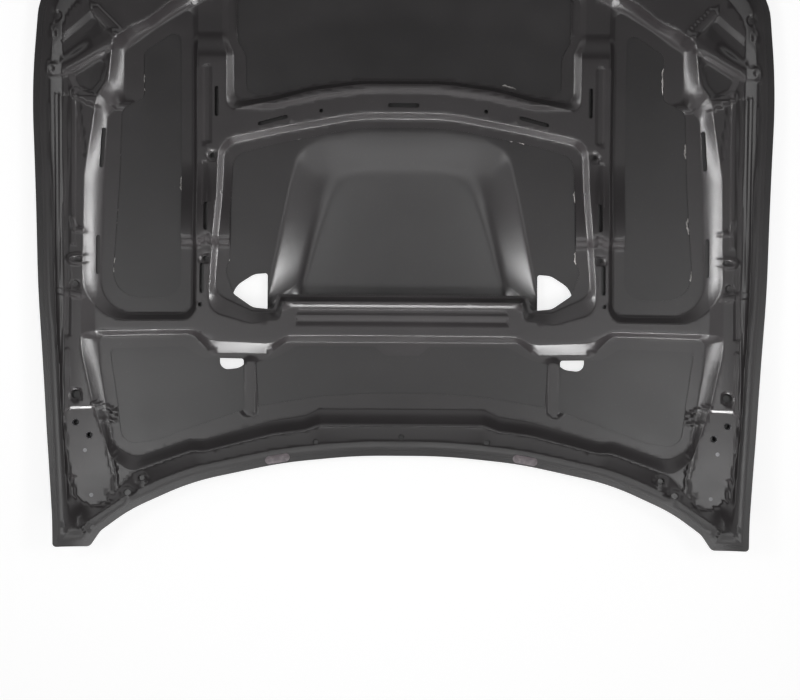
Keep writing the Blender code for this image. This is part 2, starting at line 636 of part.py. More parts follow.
def build_hinge_side(side):
    """The reinforcement under one hinge pad and its two weld nuts."""
    turn = (lambda loop: loop) if side == "left" else flipped
    plate = turn(loop_points(anticlockwise(PAD), -REINFORCEMENT_INSET))
    holes = [turn(circle(x, y, SCREW_HOLE)) for x, y in SCREW_HOLES]
    drop = SEAT_GAP + REINFORCEMENT_SHEET
    lift = lambda px, py: pad_plane(px, py) - drop
    add_sheet("hinge_reinforcement_" + side, plate, lift, REINFORCEMENT_SHEET, ZINC, holes)
    for place, (x, y) in zip(("front", "rear"), SCREW_HOLES):
        nut = turn(circle(x, y, NUT_FLATS / math.cos(math.pi / 6), 6))
        bore = turn(circle(x, y, SCREW_BORE, 12))
        fall = drop + SEAT_GAP + NUT_HEIGHT
        lift = lambda px, py: pad_plane(px, py) - fall
        add_sheet(f"weld_nut_{side}_{place}", nut, lift, NUT_HEIGHT, ZINC, [bore], [], PLAIN_GRID)


def build_latch_plate():
    drop = SEAT_GAP + LATCH_SHEET
    lift = lambda x, y: frame_z(x, y) - drop
    add_sheet("latch_reinforcement", LOOPS["latch"], lift, LATCH_SHEET, ZINC)


def build_mastic():
    """The squeezed pads of mastic that stick the frame's flanges to the skin."""
    height = MASTIC_GAP - 2 * SEAT_GAP
    for side, rows in (("left", MASTIC_LEFT), ("right", MASTIC_RIGHT)):
        for number, (x, y, length, direction) in enumerate(rows, 1):
            loop = capsule(x, y, length, MASTIC_WIDTH, direction)
            lift = lambda px, py: bulged_z(px, py) + SEAT_GAP
            add_sheet(f"mastic_{side}_{number}", loop, lift, height, MASTIC, [], [], PLAIN_GRID)


def build_buffers():
    """The two stick-on pads on the rear hem."""
    x, y, direction = BUFFER_PLACE
    top = 3 * SEAT_GAP + FRAME_SHEET + SKIN_SHEET
    lift = lambda px, py: skin_z(px, py) + top
    for side, sign in (("left", 1), ("right", -1)):
        loop = capsule(sign * x, y, BUFFER_LENGTH, BUFFER_WIDTH, sign * direction)
        add_sheet("buffer_pad_" + side, loop, lift, BUFFER_HEIGHT, BUFFER, [], [], PLAIN_GRID)


def settle():
    """Moves every mesh so that the origin lies on the floor under the middle of the bonnet."""
    meshes = [obj.data for obj in bpy.context.scene.objects]
    points = [np.array([v.co for v in mesh.vertices]) for mesh in meshes]
    low = np.min([p.min(axis=0) for p in points], axis=0)
    high = np.max([p.max(axis=0) for p in points], axis=0)
    move = Vector((-(low[0] + high[0]) / 2, -(low[1] + high[1]) / 2, -low[2]))
    for mesh in meshes:
        mesh.transform(Matrix.Translation(move))


PRIMED = ((0.075, 0.068, 0.072), 0.35, 0.42)
PAINTED = ((0.070, 0.064, 0.068), 0.35, 0.38)
ZINC = ((0.32, 0.32, 0.33), 0.9, 0.45)
MASTIC = ((0.30, 0.29, 0.27), 0.0, 0.60)
BUFFER = ((0.42, 0.34, 0.36), 0.0, 0.45)

for old in list(bpy.data.objects):
    bpy.data.objects.remove(old, do_unlink=True)
LOOPS = make_loops()
build_skin()
build_frame()
for hinge_side in ("left", "right"):
    build_hinge_side(hinge_side)
build_latch_plate()
build_mastic()
build_buffers()
settle()
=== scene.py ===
"""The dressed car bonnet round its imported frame: fine pressed sheets, primer, mastic and a pale studio.

Sizes are in millimetres. The plan is the one that the CAD is built from, drawn here on a finer mesh.
"""

import math

import bpy
import numpy as np
from mathutils import Matrix, Vector
from mathutils.geometry import delaunay_2d_cdt


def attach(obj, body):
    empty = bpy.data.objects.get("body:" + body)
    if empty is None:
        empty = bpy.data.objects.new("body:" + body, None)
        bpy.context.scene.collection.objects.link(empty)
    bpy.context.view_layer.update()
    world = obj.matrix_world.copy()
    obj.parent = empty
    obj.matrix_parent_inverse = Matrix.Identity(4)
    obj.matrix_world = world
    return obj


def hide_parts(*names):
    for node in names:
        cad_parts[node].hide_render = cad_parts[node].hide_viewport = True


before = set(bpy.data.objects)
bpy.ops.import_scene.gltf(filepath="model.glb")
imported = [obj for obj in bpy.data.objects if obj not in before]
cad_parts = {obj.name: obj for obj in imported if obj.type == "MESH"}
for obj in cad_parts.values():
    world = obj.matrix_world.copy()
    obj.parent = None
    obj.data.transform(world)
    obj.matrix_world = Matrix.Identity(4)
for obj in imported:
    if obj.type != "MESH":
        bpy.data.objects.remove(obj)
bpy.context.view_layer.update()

MM = 0.001
# The CAD's origin, from the point where the plan is drawn
SETTLE = np.array([0.0, 2.404, 8.0])

# Main sizes from the plan's origin: the widest half, the nose and the middle of the rear edge
HALF_WIDTH = 738.0
NOSE = 652.0
REAR = -486.0
SIDE = -HALF_WIDTH

# Sheets and fits
SKIN_SHEET = 0.8
FRAME_SHEET = 0.8
SEAT_GAP = 0.3
HEM_WIDTH = 11.0
MASTIC_GAP = 3.0
SEAM_WIDTH = 22.0
SEAM_STEP = 28.0
SEAM_RISE = 5.0

# Crown of the outer skin
LENGTH_CROWN = 0.000125
SIDE_CROWN = 0.0001
CREST_Y = 414.0
SIDE_ROLL_WIDTH = 118.0
SIDE_ROLL = 0.00153
NOSE_ROLL_LENGTH = 117.0
NOSE_ROLL = 0.0023

# Level floor of the power bulge, measured down from the crest of the skin
BULGE_DROP = 8.0

# Heights of the inner frame above the skin
BEAM_LEVEL = 22.0
RAIL_LEVEL = 34.0
REAR_LEVEL = 24.0
REAR_RAMP_SETBACK = 34.0
REAR_RAMP_LENGTH = 120.0
PAD_LEVEL = 30.0
CROSSBAR_RISE = 7.0
JOGGLE_RISE = 11.0
ARCH_RISE = 5.0
FORE_DROP = 16.0
FORE_START = 311.0
FORE_LENGTH = 54.0
DISH_DEPTH = 5.0

# Pieces between the sheets
MASTIC_WIDTH = 3.6
BUFFER_LENGTH = 50.0
BUFFER_WIDTH = 16.0
BUFFER_HEIGHT = 1.6
MASTIC_HEIGHT = 2.4

# The camera, as it stood for the photograph: where it looks, how far off, and how it leans
FRAME_WIDTH = 800
FRAME_HEIGHT = 700
FOCAL_PIXELS = 1348.0
SENSOR_MM = 36.0
CAMERA_AIM = Vector((0.0, -272.6, 68.0)) * MM
CAMERA_DISTANCE = 2750.0 * MM
CAMERA_TILT = math.radians(6.0)
CAMERA_ROLL = math.radians(0.4)
CENTRE_COLUMN = 402.0
CENTRE_ROW = 350.0

# Studio
FLOOR_SIZE = 14.0
FLOOR_GREY = 0.5
FLOOR_GLOW = 0.78
# Strength of the room: on dull surfaces, and as mirrored near the horizon and overhead
ROOM_LIGHT = 0.12
ROOM_WHITE = 1.0
ROOM_CEILING = 0.06
HORIZON_HEIGHT = 0.35
CEILING_HEIGHT = 0.75

# Colours and finishes
FRAME_COLOUR = (0.033, 0.0296, 0.0309)
SKIN_COLOUR = (0.027, 0.0248, 0.0257)
PRIMER_ROUGHNESS = 0.31
DUST_COLOUR = (0.34, 0.33, 0.31, 1)
MASTIC_COLOUR = (0.36, 0.345, 0.335)
BUFFER_COLOUR = (0.30, 0.255, 0.275)
ZINC_COLOUR = (0.30, 0.30, 0.31)
PHOSPHATE_COLOUR = (0.035, 0.034, 0.036)
METAL_SHARE = 0.8
BUMP_DEPTH = 1.0 * MM

# Mesh density
CHUNK = 1500
PLAN_REACH = 756.0
LOOK_GRID = 9.0
FINE_GRID = 3.0
PLAIN_STEPS = 4
NARROW_BEAD = 10.0
FRAME_BEND = 0.28
SKIN_BEND = 0.42
SLOPE_STEP = 0.8
EDGE_STEP = 12.0
ARC_STEP = math.radians(10)
SEAM_LADDERS = 3
WALL_ROUND = 0.12
WALL_ROWS = (0.0, 0.06, 0.13, 0.5, 0.87, 0.94, 1.0)
WALL_PITCH = 5.5
WALL_SQUARE = 0.9
HOLE_SIDES = 16
# Clear strip beside the seam and beside a hole, in steps of the fine grid
SEAM_CLEARANCE = 0.4
HOLE_CLEARANCE = 0.45
FORM_MARGIN = 2.0
MERGE = 0.02
# Greatest angle in degrees that is shaded round, on sheets and on soft pieces
SHEET_CREASE = 38
SOFT_CREASE = 60

# A fillet takes at most this share of a side, and its corner is never sharper than this radius
FILLET_SHARE = 0.46
LEAST_RADIUS = 0.6

# Squeezed mastic: its mesh, how far it bows, and the waves of its width and of its line as (number, height)
BEAD_STEPS = 28
BEAD_SIDES = 8
BEAD_BOW = 2.0
WIDTH_WAVES = ((7, 0.22), (17, 0.12))
LINE_WAVES = ((4, 0.8), (11, 0.4))

# How the bulge's slope bends, as shares of its width, and how the joggle's step swings at the beam's ridge
BULGE_FOOT_BEND = 0.35
BULGE_RIM_BEND = 0.12
JOGGLE_STAGGER = 9.0
JOGGLE_MIDDLE = -396.0
JOGGLE_REACH = 16.0

# Corner points of the left half as (x, y, corner radius), going round with the metal on the left hand
OUTLINE = [
    (-190, NOSE, 900), (-450, NOSE - 54, 700), (SIDE + 98, NOSE - 132, 260), (SIDE + 16, NOSE - 222, 120),
    (SIDE, 250, 1500), (SIDE + 12, -150, 2500), (SIDE + 34, REAR + 56, 2500), (SIDE + 50, REAR - 114, 900),
    (SIDE + 53, REAR - 169, 8), (SIDE + 123, REAR - 171, 12), (SIDE + 142, REAR - 142, 40),
    (SIDE + 198, REAR - 102, 300), (-420, REAR - 50, 500), (-240, REAR - 14, 900), (-90, REAR, 1200),
]
FRONT_WALL_FOOT = [
    (-150, NOSE - 144, 400), (-300, NOSE - 174, 200), (-403, NOSE - 228, 200), (SIDE + 244, NOSE - 281, 60),
    (SIDE + 206, NOSE - 310, 40),
]
FRONT_WALL_TOP = [
    (-150, NOSE - 124, 400), (-300, NOSE - 150, 200), (SIDE + 271, NOSE - 232, 60),
    (SIDE + 227, NOSE - 268, 30), (SIDE + 192, NOSE - 282, 20),
]
RAIL_FOOT = [
    (SIDE + 178, NOSE - 327, 16), (SIDE + 178, 228, 16), (SIDE + 144, 195, 22), (SIDE + 138, 60, 400),
]
RAIL_TOP = [
    (SIDE + 158, NOSE - 310, 14), (SIDE + 148, 262, 20), (SIDE + 125, 228, 26), (SIDE + 116, 168, 100),
    (SIDE + 100, 74, 120),
]
REAR_WALL_FOOT = [
    (SIDE + 133, REAR + 186, 200), (SIDE + 148, REAR + 96, 200), (SIDE + 163, REAR + 24, 26),
    (SIDE + 205, REAR - 1, 40), (-426, REAR + 34, 20), (-401, REAR + 32, 20), (-260, REAR + 70, 120),
    (-196, REAR + 80, 20), (-166, REAR + 94, 20),
]
REAR_WALL_TOP = [
    (SIDE + 99, REAR + 214, 200), (SIDE + 124, REAR + 112, 200), (SIDE + 162, REAR + 2, 24),
    (SIDE + 202, REAR - 25, 30), (-418, REAR + 15, 20), (-391, REAR + 14, 20), (-258, REAR + 47, 120),
    (-196, REAR + 54, 20), (-164, REAR + 65, 20),
]
FIELD_FOOT = FRONT_WALL_FOOT + RAIL_FOOT + [(SIDE + 124, -205, 120)] + REAR_WALL_FOOT
FIELD_TOP = FRONT_WALL_TOP + RAIL_TOP + [(SIDE + 98, -190, 200)] + REAR_WALL_TOP
SIDE_CUT = [
    (-449, NOSE - 280, 14), (SIDE + 214, NOSE - 330, 18), (SIDE + 214, 232, 14), (SIDE + 170, 207, 18),
    (SIDE + 165, 60, 300), (SIDE + 151, -170, 52), (-449, -170, 36),
]
SIDE_FOOT = [
    (-426, NOSE - 241, 10),
] + FRONT_WALL_FOOT[3:] + RAIL_FOOT + [(SIDE + 131, -203, 66), (-426, -203, 26)]
SIDE_TOP = [
    (-414, NOSE - 200, 10),
] + FRONT_WALL_TOP[2:] + RAIL_TOP + [(SIDE + 98, -214, 90), (-414, -214, 30)]
FRONT_CUT = [
    (-180, NOSE - 182, 300), (-337, NOSE - 212, 25), (-337, NOSE - 307, 20), (-320, NOSE - 334, 20),
    (-320, 236, 22), (-262, 246, 100), (-185, 265, 200), (-86, 278, 300),
]
FRONT_FOOT = [
    (-180, NOSE - 174, 300), (-354, NOSE - 208, 30), (-354, NOSE - 302, 20), (-344, NOSE - 330, 20),
    (-344, 226, 18), (-262, 240, 60), (-185, 259, 200), (-86, 272, 300),
]
FRONT_TOP = [
    (-180, NOSE - 162, 300), (-368, NOSE - 196, 30), (-368, NOSE - 300, 20), (-358, NOSE - 330, 20),
    (-358, 206, 16), (-262, 226, 60), (-185, 247, 200), (-86, 261, 300),
]
SCOOP_CUT = [
    (-90, 176, 500), (-250, 144, 200), (-346, 118, 30), (-351, 0, 300), (-352, -96, 40), (-361, -116, 14),
    (-343, -163, 16), (-304, -190, 30), (-262, -194, 8), (-254, -163, 8),
]
SCOOP_FOOT = [
    (-90, 192, 500), (-250, 162, 300), (-363, 136, 32), (-366, 40, 300), (-378, -112, 200),
    (-381, -160, 26), (-304, -197, 30), (-258, -199, 6), (-250, -167, 6),
]
SCOOP_TOP = [
    (-90, 206, 500), (-250, 176, 300), (-374, 149, 42), (-377, 40, 300), (-389, -112, 200),
    (-392, -198, 34), (-304, -222, 30), (-246, -210, 8), (-240, -176, 6),
]
REAR_FOOT = [
    (-238, REAR + 225, 16), (-268, REAR + 201, 24), (-386, REAR + 202, 26), (-424, REAR + 242, 24),
    (SIDE + 130, REAR + 238, 12),
] + REAR_WALL_FOOT
REAR_TOP = [
    (-230, REAR + 243, 16), (-262, REAR + 227, 24), (-386, REAR + 234, 26), (-420, REAR + 254, 24),
    (SIDE + 96, REAR + 252, 40),
] + REAR_WALL_TOP
REAR_LEFT_CUT = [
    (-321, REAR + 193, 5), (-404, REAR + 195, 30), (-440, REAR + 218, 24), (SIDE + 150, REAR + 214, 10),
    (SIDE + 168, REAR + 106, 300), (SIDE + 179, REAR + 24, 30), (SIDE + 246, REAR + 32, 60),
    (-317, REAR + 92, 6),
]
MIDDLE_CUT = [
    (-34, REAR + 200, 4), (-56, REAR + 218, 8), (-214, REAR + 218, 24), (-262, REAR + 193, 30),
    (-297, REAR + 186, 6), (-290, REAR + 98, 6), (-166, REAR + 118, 200), (-60, REAR + 124, 200),
]
BULGE_RIM = [
    (-80, 170, 500), (-166, 158, 80), (-222, 128, 50), (-240, 40, 300), (-258, -60, 400),
    (-284, -200, 6),
]
BULGE_FLOOR = [(-60, 68, 300), (-112, 64, 50), (-143, 32, 60), (-176, -60, 300), (-216, -200, 6)]
MOUTH = [
    (-275, -200, 4), (-275, -121, 5), (-302, -123, 30), (-338, -146, 40), (-369, -226, 60),
    (-369, REAR + 170, 16), (-330, REAR + 174, 30), (-266, REAR + 224, 40), (-200, REAR + 246, 60),
]
CORNER_FOOT = [
    (SIDE + 44, NOSE - 326, 5), (SIDE + 62, NOSE - 321, 10), (SIDE + 122, NOSE - 268, 5),
    (SIDE + 130, NOSE - 276, 5), (SIDE + 66, NOSE - 334, 10), (SIDE + 44, NOSE - 338, 5),
]
CORNER_TOP = [
    (SIDE + 40, NOSE - 311, 8), (SIDE + 59, NOSE - 305, 10), (SIDE + 120, NOSE - 251, 8),
    (SIDE + 172, NOSE - 300, 8), (SIDE + 70, 284, 14), (SIDE + 39, NOSE - 360, 8),
]
NOTCH_FOOT = [
    (SIDE + 85, NOSE - 384, 6), (SIDE + 98, NOSE - 410, 5), (SIDE + 116, NOSE - 410, 8),
    (SIDE + 132, NOSE - 390, 10), (SIDE + 146, NOSE - 344, 6),
]
NOTCH_TOP = [
    (SIDE + 66, NOSE - 370, 8), (SIDE + 88, NOSE - 421, 8), (SIDE + 124, NOSE - 421, 12),
    (SIDE + 142, NOSE - 396, 12), (SIDE + 160, NOSE - 313, 8),
]
ARCH_CREST = [
    (-150, NOSE - 352, 60), (-330, NOSE - 362, 30), (-330, 226, 8), (-262, 220, 60), (-170, 240, 200),
    (-70, 253, 300),
]
ARCH_FOOT = [
    (-150, NOSE - 342, 60), (-345, NOSE - 352, 30), (-345, 208, 8), (-262, 210, 60), (-170, 231, 200),
    (-70, 244, 300),
]
CROSSBAR_CREST = [(-236, -174.5, 1), (-236, -178, 1)]
CROSSBAR_FOOT = [(-250, -168, 3), (-262, -206, 4), (-224, -189, 6)]
PAD = [
    (SIDE + 74, REAR + 96, 12), (SIDE + 126, REAR + 101, 8), (SIDE + 149, REAR + 34, 100),
    (SIDE + 167, REAR - 34, 30), (SIDE + 158, REAR - 81, 14), (SIDE + 130, REAR - 87, 14),
    (SIDE + 104, REAR - 76, 16), (SIDE + 83, REAR - 4, 120),
]
PAD_EDGE = 6.0
CORNER_LEVEL = 32.0
NOTCH_LEVEL = 28.0

# Slots as (x, y, length, width, direction in degrees)
SLOTS = [
    (-377, 225, 60, 8, 90), (-397, -5, 56, 10, 90), (-405, -130, 60, 9, 90), (SIDE + 133, 130, 80, 7, 86),
    (SIDE + 125, -84, 78, 7, 90), (-264, 188, 62, 8, 15),
]
CENTRE_SLOT = (0, 220, 64, 9, 0)
# Round holes as (x, y, diameter)
HOLES = [
    (-407, -183, 9), (-386, 117, 9), (-399, -90, 9), (-167, 208, 8), (-173, REAR + 29, 12),
    (SIDE + 220, REAR - 39, 12), (SIDE + 192, REAR - 68, 13), (SIDE + 92, REAR + 128, 17),
    (SIDE + 113, REAR + 19, 8), (SIDE + 128, REAR - 67, 8),
]
CENTRE_HOLE = (0, REAR + 39, 12)
SCREW_HOLES = [(SIDE + 93, REAR + 73), (SIDE + 120, REAR + 48)]
SCREW_HOLE = 14.0
# Pressed dishes as (x, y, diameter)
DISHES = [
    (-386, 117, 24), (-399, -90, 24), (SIDE + 220, REAR - 39, 32), (SIDE + 192, REAR - 68, 36),
    (SIDE + 92, REAR + 128, 30),
]
JOGGLE_LEFT = -455.0
JOGGLE_RIGHT = -336.0
JOGGLE_FOOT_Y = -72.0
JOGGLE_CREST_Y = -45.0
JOGGLE_TAIL_Y = 106.0

# Mastic pads as (x, y, length, direction in degrees), on the left and on the right
MASTIC_LEFT = [
    (SIDE + 166, 120, 30, 88), (SIDE + 160, -10, 34, 86), (SIDE + 155, -105, 30, 86),
    (SIDE + 214, 262, 34, 90), (-218, 151, 30, 12), (-351, 42, 26, 90), (-353, -84, 26, 90),
    (-150, REAR + 220, 34, 0), (-449, 60, 30, 90),
]
MASTIC_RIGHT = [
    (HALF_WIDTH - 214, 270, 54, 90), (HALF_WIDTH - 167, 130, 30, 92), (HALF_WIDTH - 161, -20, 34, 94),
    (HALF_WIDTH - 153, -125, 30, 94), (232, 148, 30, -12), (351, 38, 26, 90), (353, -86, 26, 90),
    (170, REAR + 220, 34, 0), (214, 258, 30, -15), (449, -40, 30, 90),
]
BUFFER_PLACE = (-250, REAR - 6, 9)

# Fine pressed lines of the left half as (points, width, rise), pressed down where the rise is negative
BEADS = [
    ([(0, -197), (-207, -197)], 6, -1.6), ([(0, -216), (-209, -216)], 6, -1.6),
    ([(-419, 292), (-419, -174)], 5, 1.4), ([(-396, 292), (-396, 147)], 7, -1.6),
    ([(-402, 100), (-401, 20)], 6, -1.2), ([(-650, 237), (-612, 222)], 14, 4.0),
    ([(-578, 214), (-534, 214)], 8, 3.0), ([(-649, 234), (-635, 118)], 5, -1.2),
    ([(-659, -13), (-651, -33), (-638, -35)], 7, 2.2), ([(-685, -155), (-640, -162)], 8, 2.5),
    ([(-709, 216), (-707, -60), (-700, -300)], 6, 1.5), ([(-689, 230), (-688, -20), (-682, -270)], 7, 1.8),
    ([(-672, 228), (-668, 20), (-664, -240)], 6, -1.5), ([(-656, 226), (-655, 60), (-655, -60)], 6, 1.4),
    ([(-664, -272), (-661, -385)], 6, 1.6), ([(-577, -467), (-566, -520), (-563, -544)], 6, -2.0),
    ([(-611, -376), (-585, -390)], 5, 1.6), ([(-600, -409), (-575, -415)], 5, 1.6),
    ([(-579, -396), (-563, -400)], 5, 1.6), ([(-677, -636), (-626, -642)], 5, -1.6),
    ([(-610, 401), (-569, 357)], 12, 4.0), ([(-700, 283), (-719, 305)], 8, 2.5),
    ([(-308, -306), (-309, -392)], 20, 3.0), ([(-336, 426), (-335, 365)], 6, 1.6),
    ([(-700, 282), (-682, 281), (-640, 306), (-590, 336), (-572, 347)], 18, 6.0),
    ([(-740, 345), (-700, 354)], 14, 4.0),
]
# Round and oval pressed spots of the left half as (x, y, length, width, rise)
SPOTS = [
    (-648, -92, 48, 28, 3.0), (-651, -143, 20, 20, -3.5), (-668, -615, 14, 14, -3.0),
    (-630, -619, 11, 11, -2.0), (-612, -621, 11, 11, -2.0), (-624, -632, 11, 11, -2.0),
    (-648, -92, 26, 12, -3.0), (-688, 387, 26, 26, -3.0),
]
# Small holes that are not cut but painted as spots of shade, as (x, y, diameter)
HOLE_SHADE_SPOTS = [(-668, -615, 8), (-630, -619, 6), (-612, -621, 6), (-624, -632, 6), (-648, -92, 7)]


def mirrored(half):
    """The whole loop of a left half that starts and ends at the centre line."""
    return half + [(-x, y, r) for x, y, r in reversed(half)]


def unit(vector):
    return vector / np.hypot(*vector)


def offset_corner(before, corner, after, grow):
    """A corner of an anticlockwise loop moved outwards, so that both its sides lie that much further out."""
    first, second = unit(corner - before), unit(after - corner)
    normal_1 = np.array([first[1], -first[0]])
    normal_2 = np.array([second[1], -second[0]])
    return corner + grow * (normal_1 + normal_2) / (1 + normal_1 @ normal_2)


def loop_points(corners, grow=0.0):
    """Points round a loop of filleted corners. A grown copy has the same number of points."""
    base = np.array([c[:2] for c in corners], float)
    count = len(base)
    moved = [offset_corner(base[i - 1], base[i], base[(i + 1) % count], grow) for i in range(count)]
    arcs, grown = [], []
    for i, corner in enumerate(corners):
        n = (i + 1) % count
        plain, parts = corner_arc(base[i - 1], base[i], base[n], corner[2])
        arcs.append(plain)
        grown.append(corner_arc(moved[i - 1], moved[i], moved[n], corner[2], grow, parts)[0])
    plan = []
    for i in range(count):
        n = (i + 1) % count
        plan += grown[i]
        parts = max(1, round(np.hypot(*(arcs[n][0] - arcs[i][-1])) / EDGE_STEP))
        plan += [grown[i][-1] + (grown[n][0] - grown[i][-1]) * k / parts for k in range(1, parts)]
    return np.array(plan)


def corner_arc(before, corner, after, radius, grow=0.0, parts=0):
    """Points of the fillet at one corner, from tangent point to tangent point, and its number of parts."""
    inward, outward = unit(before - corner), unit(after - corner)
    first, second = -inward, outward
    turn = math.atan2(first[0] * second[1] - first[1] * second[0], first @ second)
    size = radius + (grow if turn > 0 else -grow)
    reach = abs(math.tan(turn / 2)) * max(size, LEAST_RADIUS)
    room = FILLET_SHARE * min(np.hypot(*(before - corner)), np.hypot(*(after - corner)))
    reach = min(reach, room)
    start, end = corner + inward * reach, corner + outward * reach
    parts = parts or max(1, math.ceil(abs(turn) / ARC_STEP), round(np.hypot(*(end - start)) / EDGE_STEP))
    bend = math.cos(turn / 2)
    rows = []
    for k in range(parts + 1):
        t = k / parts
        weights = np.array([(1 - t) ** 2, 2 * t * (1 - t) * bend, t * t])
        rows.append((weights[0] * start + weights[1] * corner + weights[2] * end) / weights.sum())
    return rows, parts


def inside_loop(x, y, loop):
    """Which points lie inside a loop, by the number of its sides to their right."""
    result = np.zeros(np.shape(x), bool)
    for (ax, ay), (bx, by) in zip(loop, np.roll(loop, -1, axis=0)):
        row = (y > min(ay, by)) & (y <= max(ay, by))
        if row.any():
            result[row] ^= x[row] < ax + (y[row] - ay) * (bx - ax) / (by - ay)
    return result


def edge_distance(x, y, loop):
    """Distance from points to the line of a loop."""
    points = np.stack([x, y], axis=1)
    starts = loop[None, :, :]
    sides = np.roll(loop, -1, axis=0)[None, :, :] - starts
    squares = (sides ** 2).sum(2)
    away = np.empty(len(points))
    for k in range(0, len(points), CHUNK):
        offsets = points[k:k + CHUNK, None, :] - starts
        t = np.clip((offsets * sides).sum(2) / squares, 0, 1)
        away[k:k + CHUNK] = np.sqrt(((sides * t[:, :, None] - offsets) ** 2).sum(2).min(1))
    return away


def loop_distance(x, y, loop):
    """Signed distance from points to a loop, positive inside."""
    away = edge_distance(x, y, loop)
    return np.where(inside_loop(x, y, loop), away, -away)


def line_distance(x, y, points, reach):
    """Distance from points to an open line of straight parts, and the reach where they lie further off."""
    away = np.full(np.shape(x), float(reach))
    for (ax, ay), (bx, by) in zip(points, points[1:]):
        near = (x > min(ax, bx) - reach) & (x < max(ax, bx) + reach)
        near &= (y > min(ay, by) - reach) & (y < max(ay, by) + reach)
        px, py = x[near] - ax, y[near] - ay
        along = np.array([bx - ax, by - ay], float)
        t = np.clip((px * along[0] + py * along[1]) / (along @ along), 0, 1)
        away[near] = np.minimum(away[near], np.hypot(px - along[0] * t, py - along[1] * t))
    return away


def climb(x, y, foot, top):
    """How far up a wall points lie: 0 inside its foot loop and 1 outside the wider top loop."""
    x, y = np.atleast_1d(x), np.atleast_1d(y)
    share = np.ones(x.shape)
    held = inside_loop(x, y, top)
    low = held & inside_loop(x, y, foot)
    wall = held & ~low
    below, above = edge_distance(x[wall], y[wall], foot), edge_distance(x[wall], y[wall], top)
    share[low] = 0
    share[wall] = below / np.maximum(below + above, 1e-9)
    return share


def between(x, y, foot, top):
    """0 inside the foot loop, 1 outside the wider top loop and a wall with rounded ends between them."""
    return rounded(climb(x, y, foot, top), WALL_ROUND, WALL_ROUND)


def rounded(t, low_bend, high_bend):
    """A straight ramp from 0 to 1 whose two ends are rounded over shares of its length."""
    scale = 1 - (low_bend + high_bend) / 2
    start = t ** 2 / (2 * low_bend * scale)
    middle = (t - low_bend / 2) / scale
    end = 1 - (1 - t) ** 2 / (2 * high_bend * scale)
    return np.where(t < low_bend, start, np.where(t > 1 - high_bend, end, middle))


def ease(t):
    t = np.clip(t, 0, 1)
    return t * t * (3 - 2 * t)


def make_loops():
    """The plan loops that shape the sheets, by name."""
    halves = {
        "outline": OUTLINE, "field_foot": FIELD_FOOT, "field_top": FIELD_TOP, "front_cut": FRONT_CUT,
        "front_foot": FRONT_FOOT, "front_top": FRONT_TOP, "scoop_cut": SCOOP_CUT, "scoop_foot": SCOOP_FOOT,
        "scoop_top": SCOOP_TOP, "rear_foot": REAR_FOOT, "rear_top": REAR_TOP, "middle_cut": MIDDLE_CUT,
        "bulge_rim": BULGE_RIM, "bulge_floor": BULGE_FLOOR, "mouth": MOUTH, "crest": CROSSBAR_CREST,
        "crossbar": CROSSBAR_FOOT, "arch_crest": ARCH_CREST, "arch_foot": ARCH_FOOT,
    }
    sides = {
        "side_cut": SIDE_CUT, "side_foot": SIDE_FOOT, "side_top": SIDE_TOP, "rear_left_cut": REAR_LEFT_CUT,
        "corner_foot": CORNER_FOOT, "corner_top": CORNER_TOP, "notch_foot": NOTCH_FOOT,
        "notch_top": NOTCH_TOP, "pad": PAD,
    }
    loops = {name: loop_points(mirrored(half)) for name, half in halves.items()}
    loops.update({name: loop_points(anticlockwise(corners)) for name, corners in sides.items()})
    whole = mirrored(OUTLINE)
    loops["frame_edge"] = loop_points(whole, -(SKIN_SHEET + SEAT_GAP))
    loops["skin_inside"] = loop_points(whole, -SKIN_SHEET)
    loops["hem_edge"] = loop_points(whole, -HEM_WIDTH)
    loops["seam_foot"] = loop_points(whole, -SEAM_WIDTH)
    loops["seam_top"] = loop_points(whole, -SEAM_STEP)
    loops["slope_top"] = loop_points(mirrored(slope_top()))
    loops["pad_foot"] = loop_points(anticlockwise(PAD), PAD_EDGE)
    return loops


def anticlockwise(corners):
    area = sum(a[0] * b[1] - b[0] * a[1] for a, b in zip(corners, corners[1:] + corners[:1]))
    return corners if area > 0 else list(reversed(corners))


def slope_top():
    """Where the outer slope of the frame reaches its full height, from the nose to the rear centre."""
    nose = [(-150, NOSE - 62, 500), (-430, NOSE - 112, 300), (SIDE + 128, NOSE - 192, 80)]
    side = [(SIDE + 66, NOSE - 272, 60), (SIDE + 66, 100, 400), (SIDE + 70, REAR + 106, 100)]
    corner = [(SIDE + 88, REAR - 74, 30), (SIDE + 138, REAR - 94, 30), (SIDE + 172, REAR - 64, 20)]
    return nose + side + corner + REAR_WALL_TOP[3:]


def skin_z(x, y):
    """Height of the upper face of the outer skin without its bulge."""
    across = np.abs(x)
    side = np.maximum(across - (HALF_WIDTH - SIDE_ROLL_WIDTH), 0)
    nose = np.maximum(y - (NOSE - NOSE_ROLL_LENGTH), 0)
    crown = LENGTH_CROWN * (y - CREST_Y) ** 2 + SIDE_CROWN * across ** 2
    return SKIN_SHEET + crown + SIDE_ROLL * side ** 2 + NOSE_ROLL * nose ** 2


def bulge_share(x, y):
    """1 on the level floor of the bulge and 0 outside its rim, with a soft foot and a crisper rim."""
    return 1 - rounded(climb(x, y, LOOPS["bulge_floor"], LOOPS["bulge_rim"]), BULGE_FOOT_BEND, BULGE_RIM_BEND)


def bulged_z(x, y):
    """Height of the upper face of the outer skin with the bulge pressed away from the viewer."""
    inside = bulge_share(x, y)
    return skin_z(x, y) * (1 - inside) + (SKIN_SHEET - BULGE_DROP) * inside


def wall(name):
    """The foot and top loops of a wall."""
    return LOOPS[name + "_foot"], LOOPS[name + "_top"]


def raised(x, y, rise, crest, foot):
    return rise * (1 - between(x, y, crest, foot))


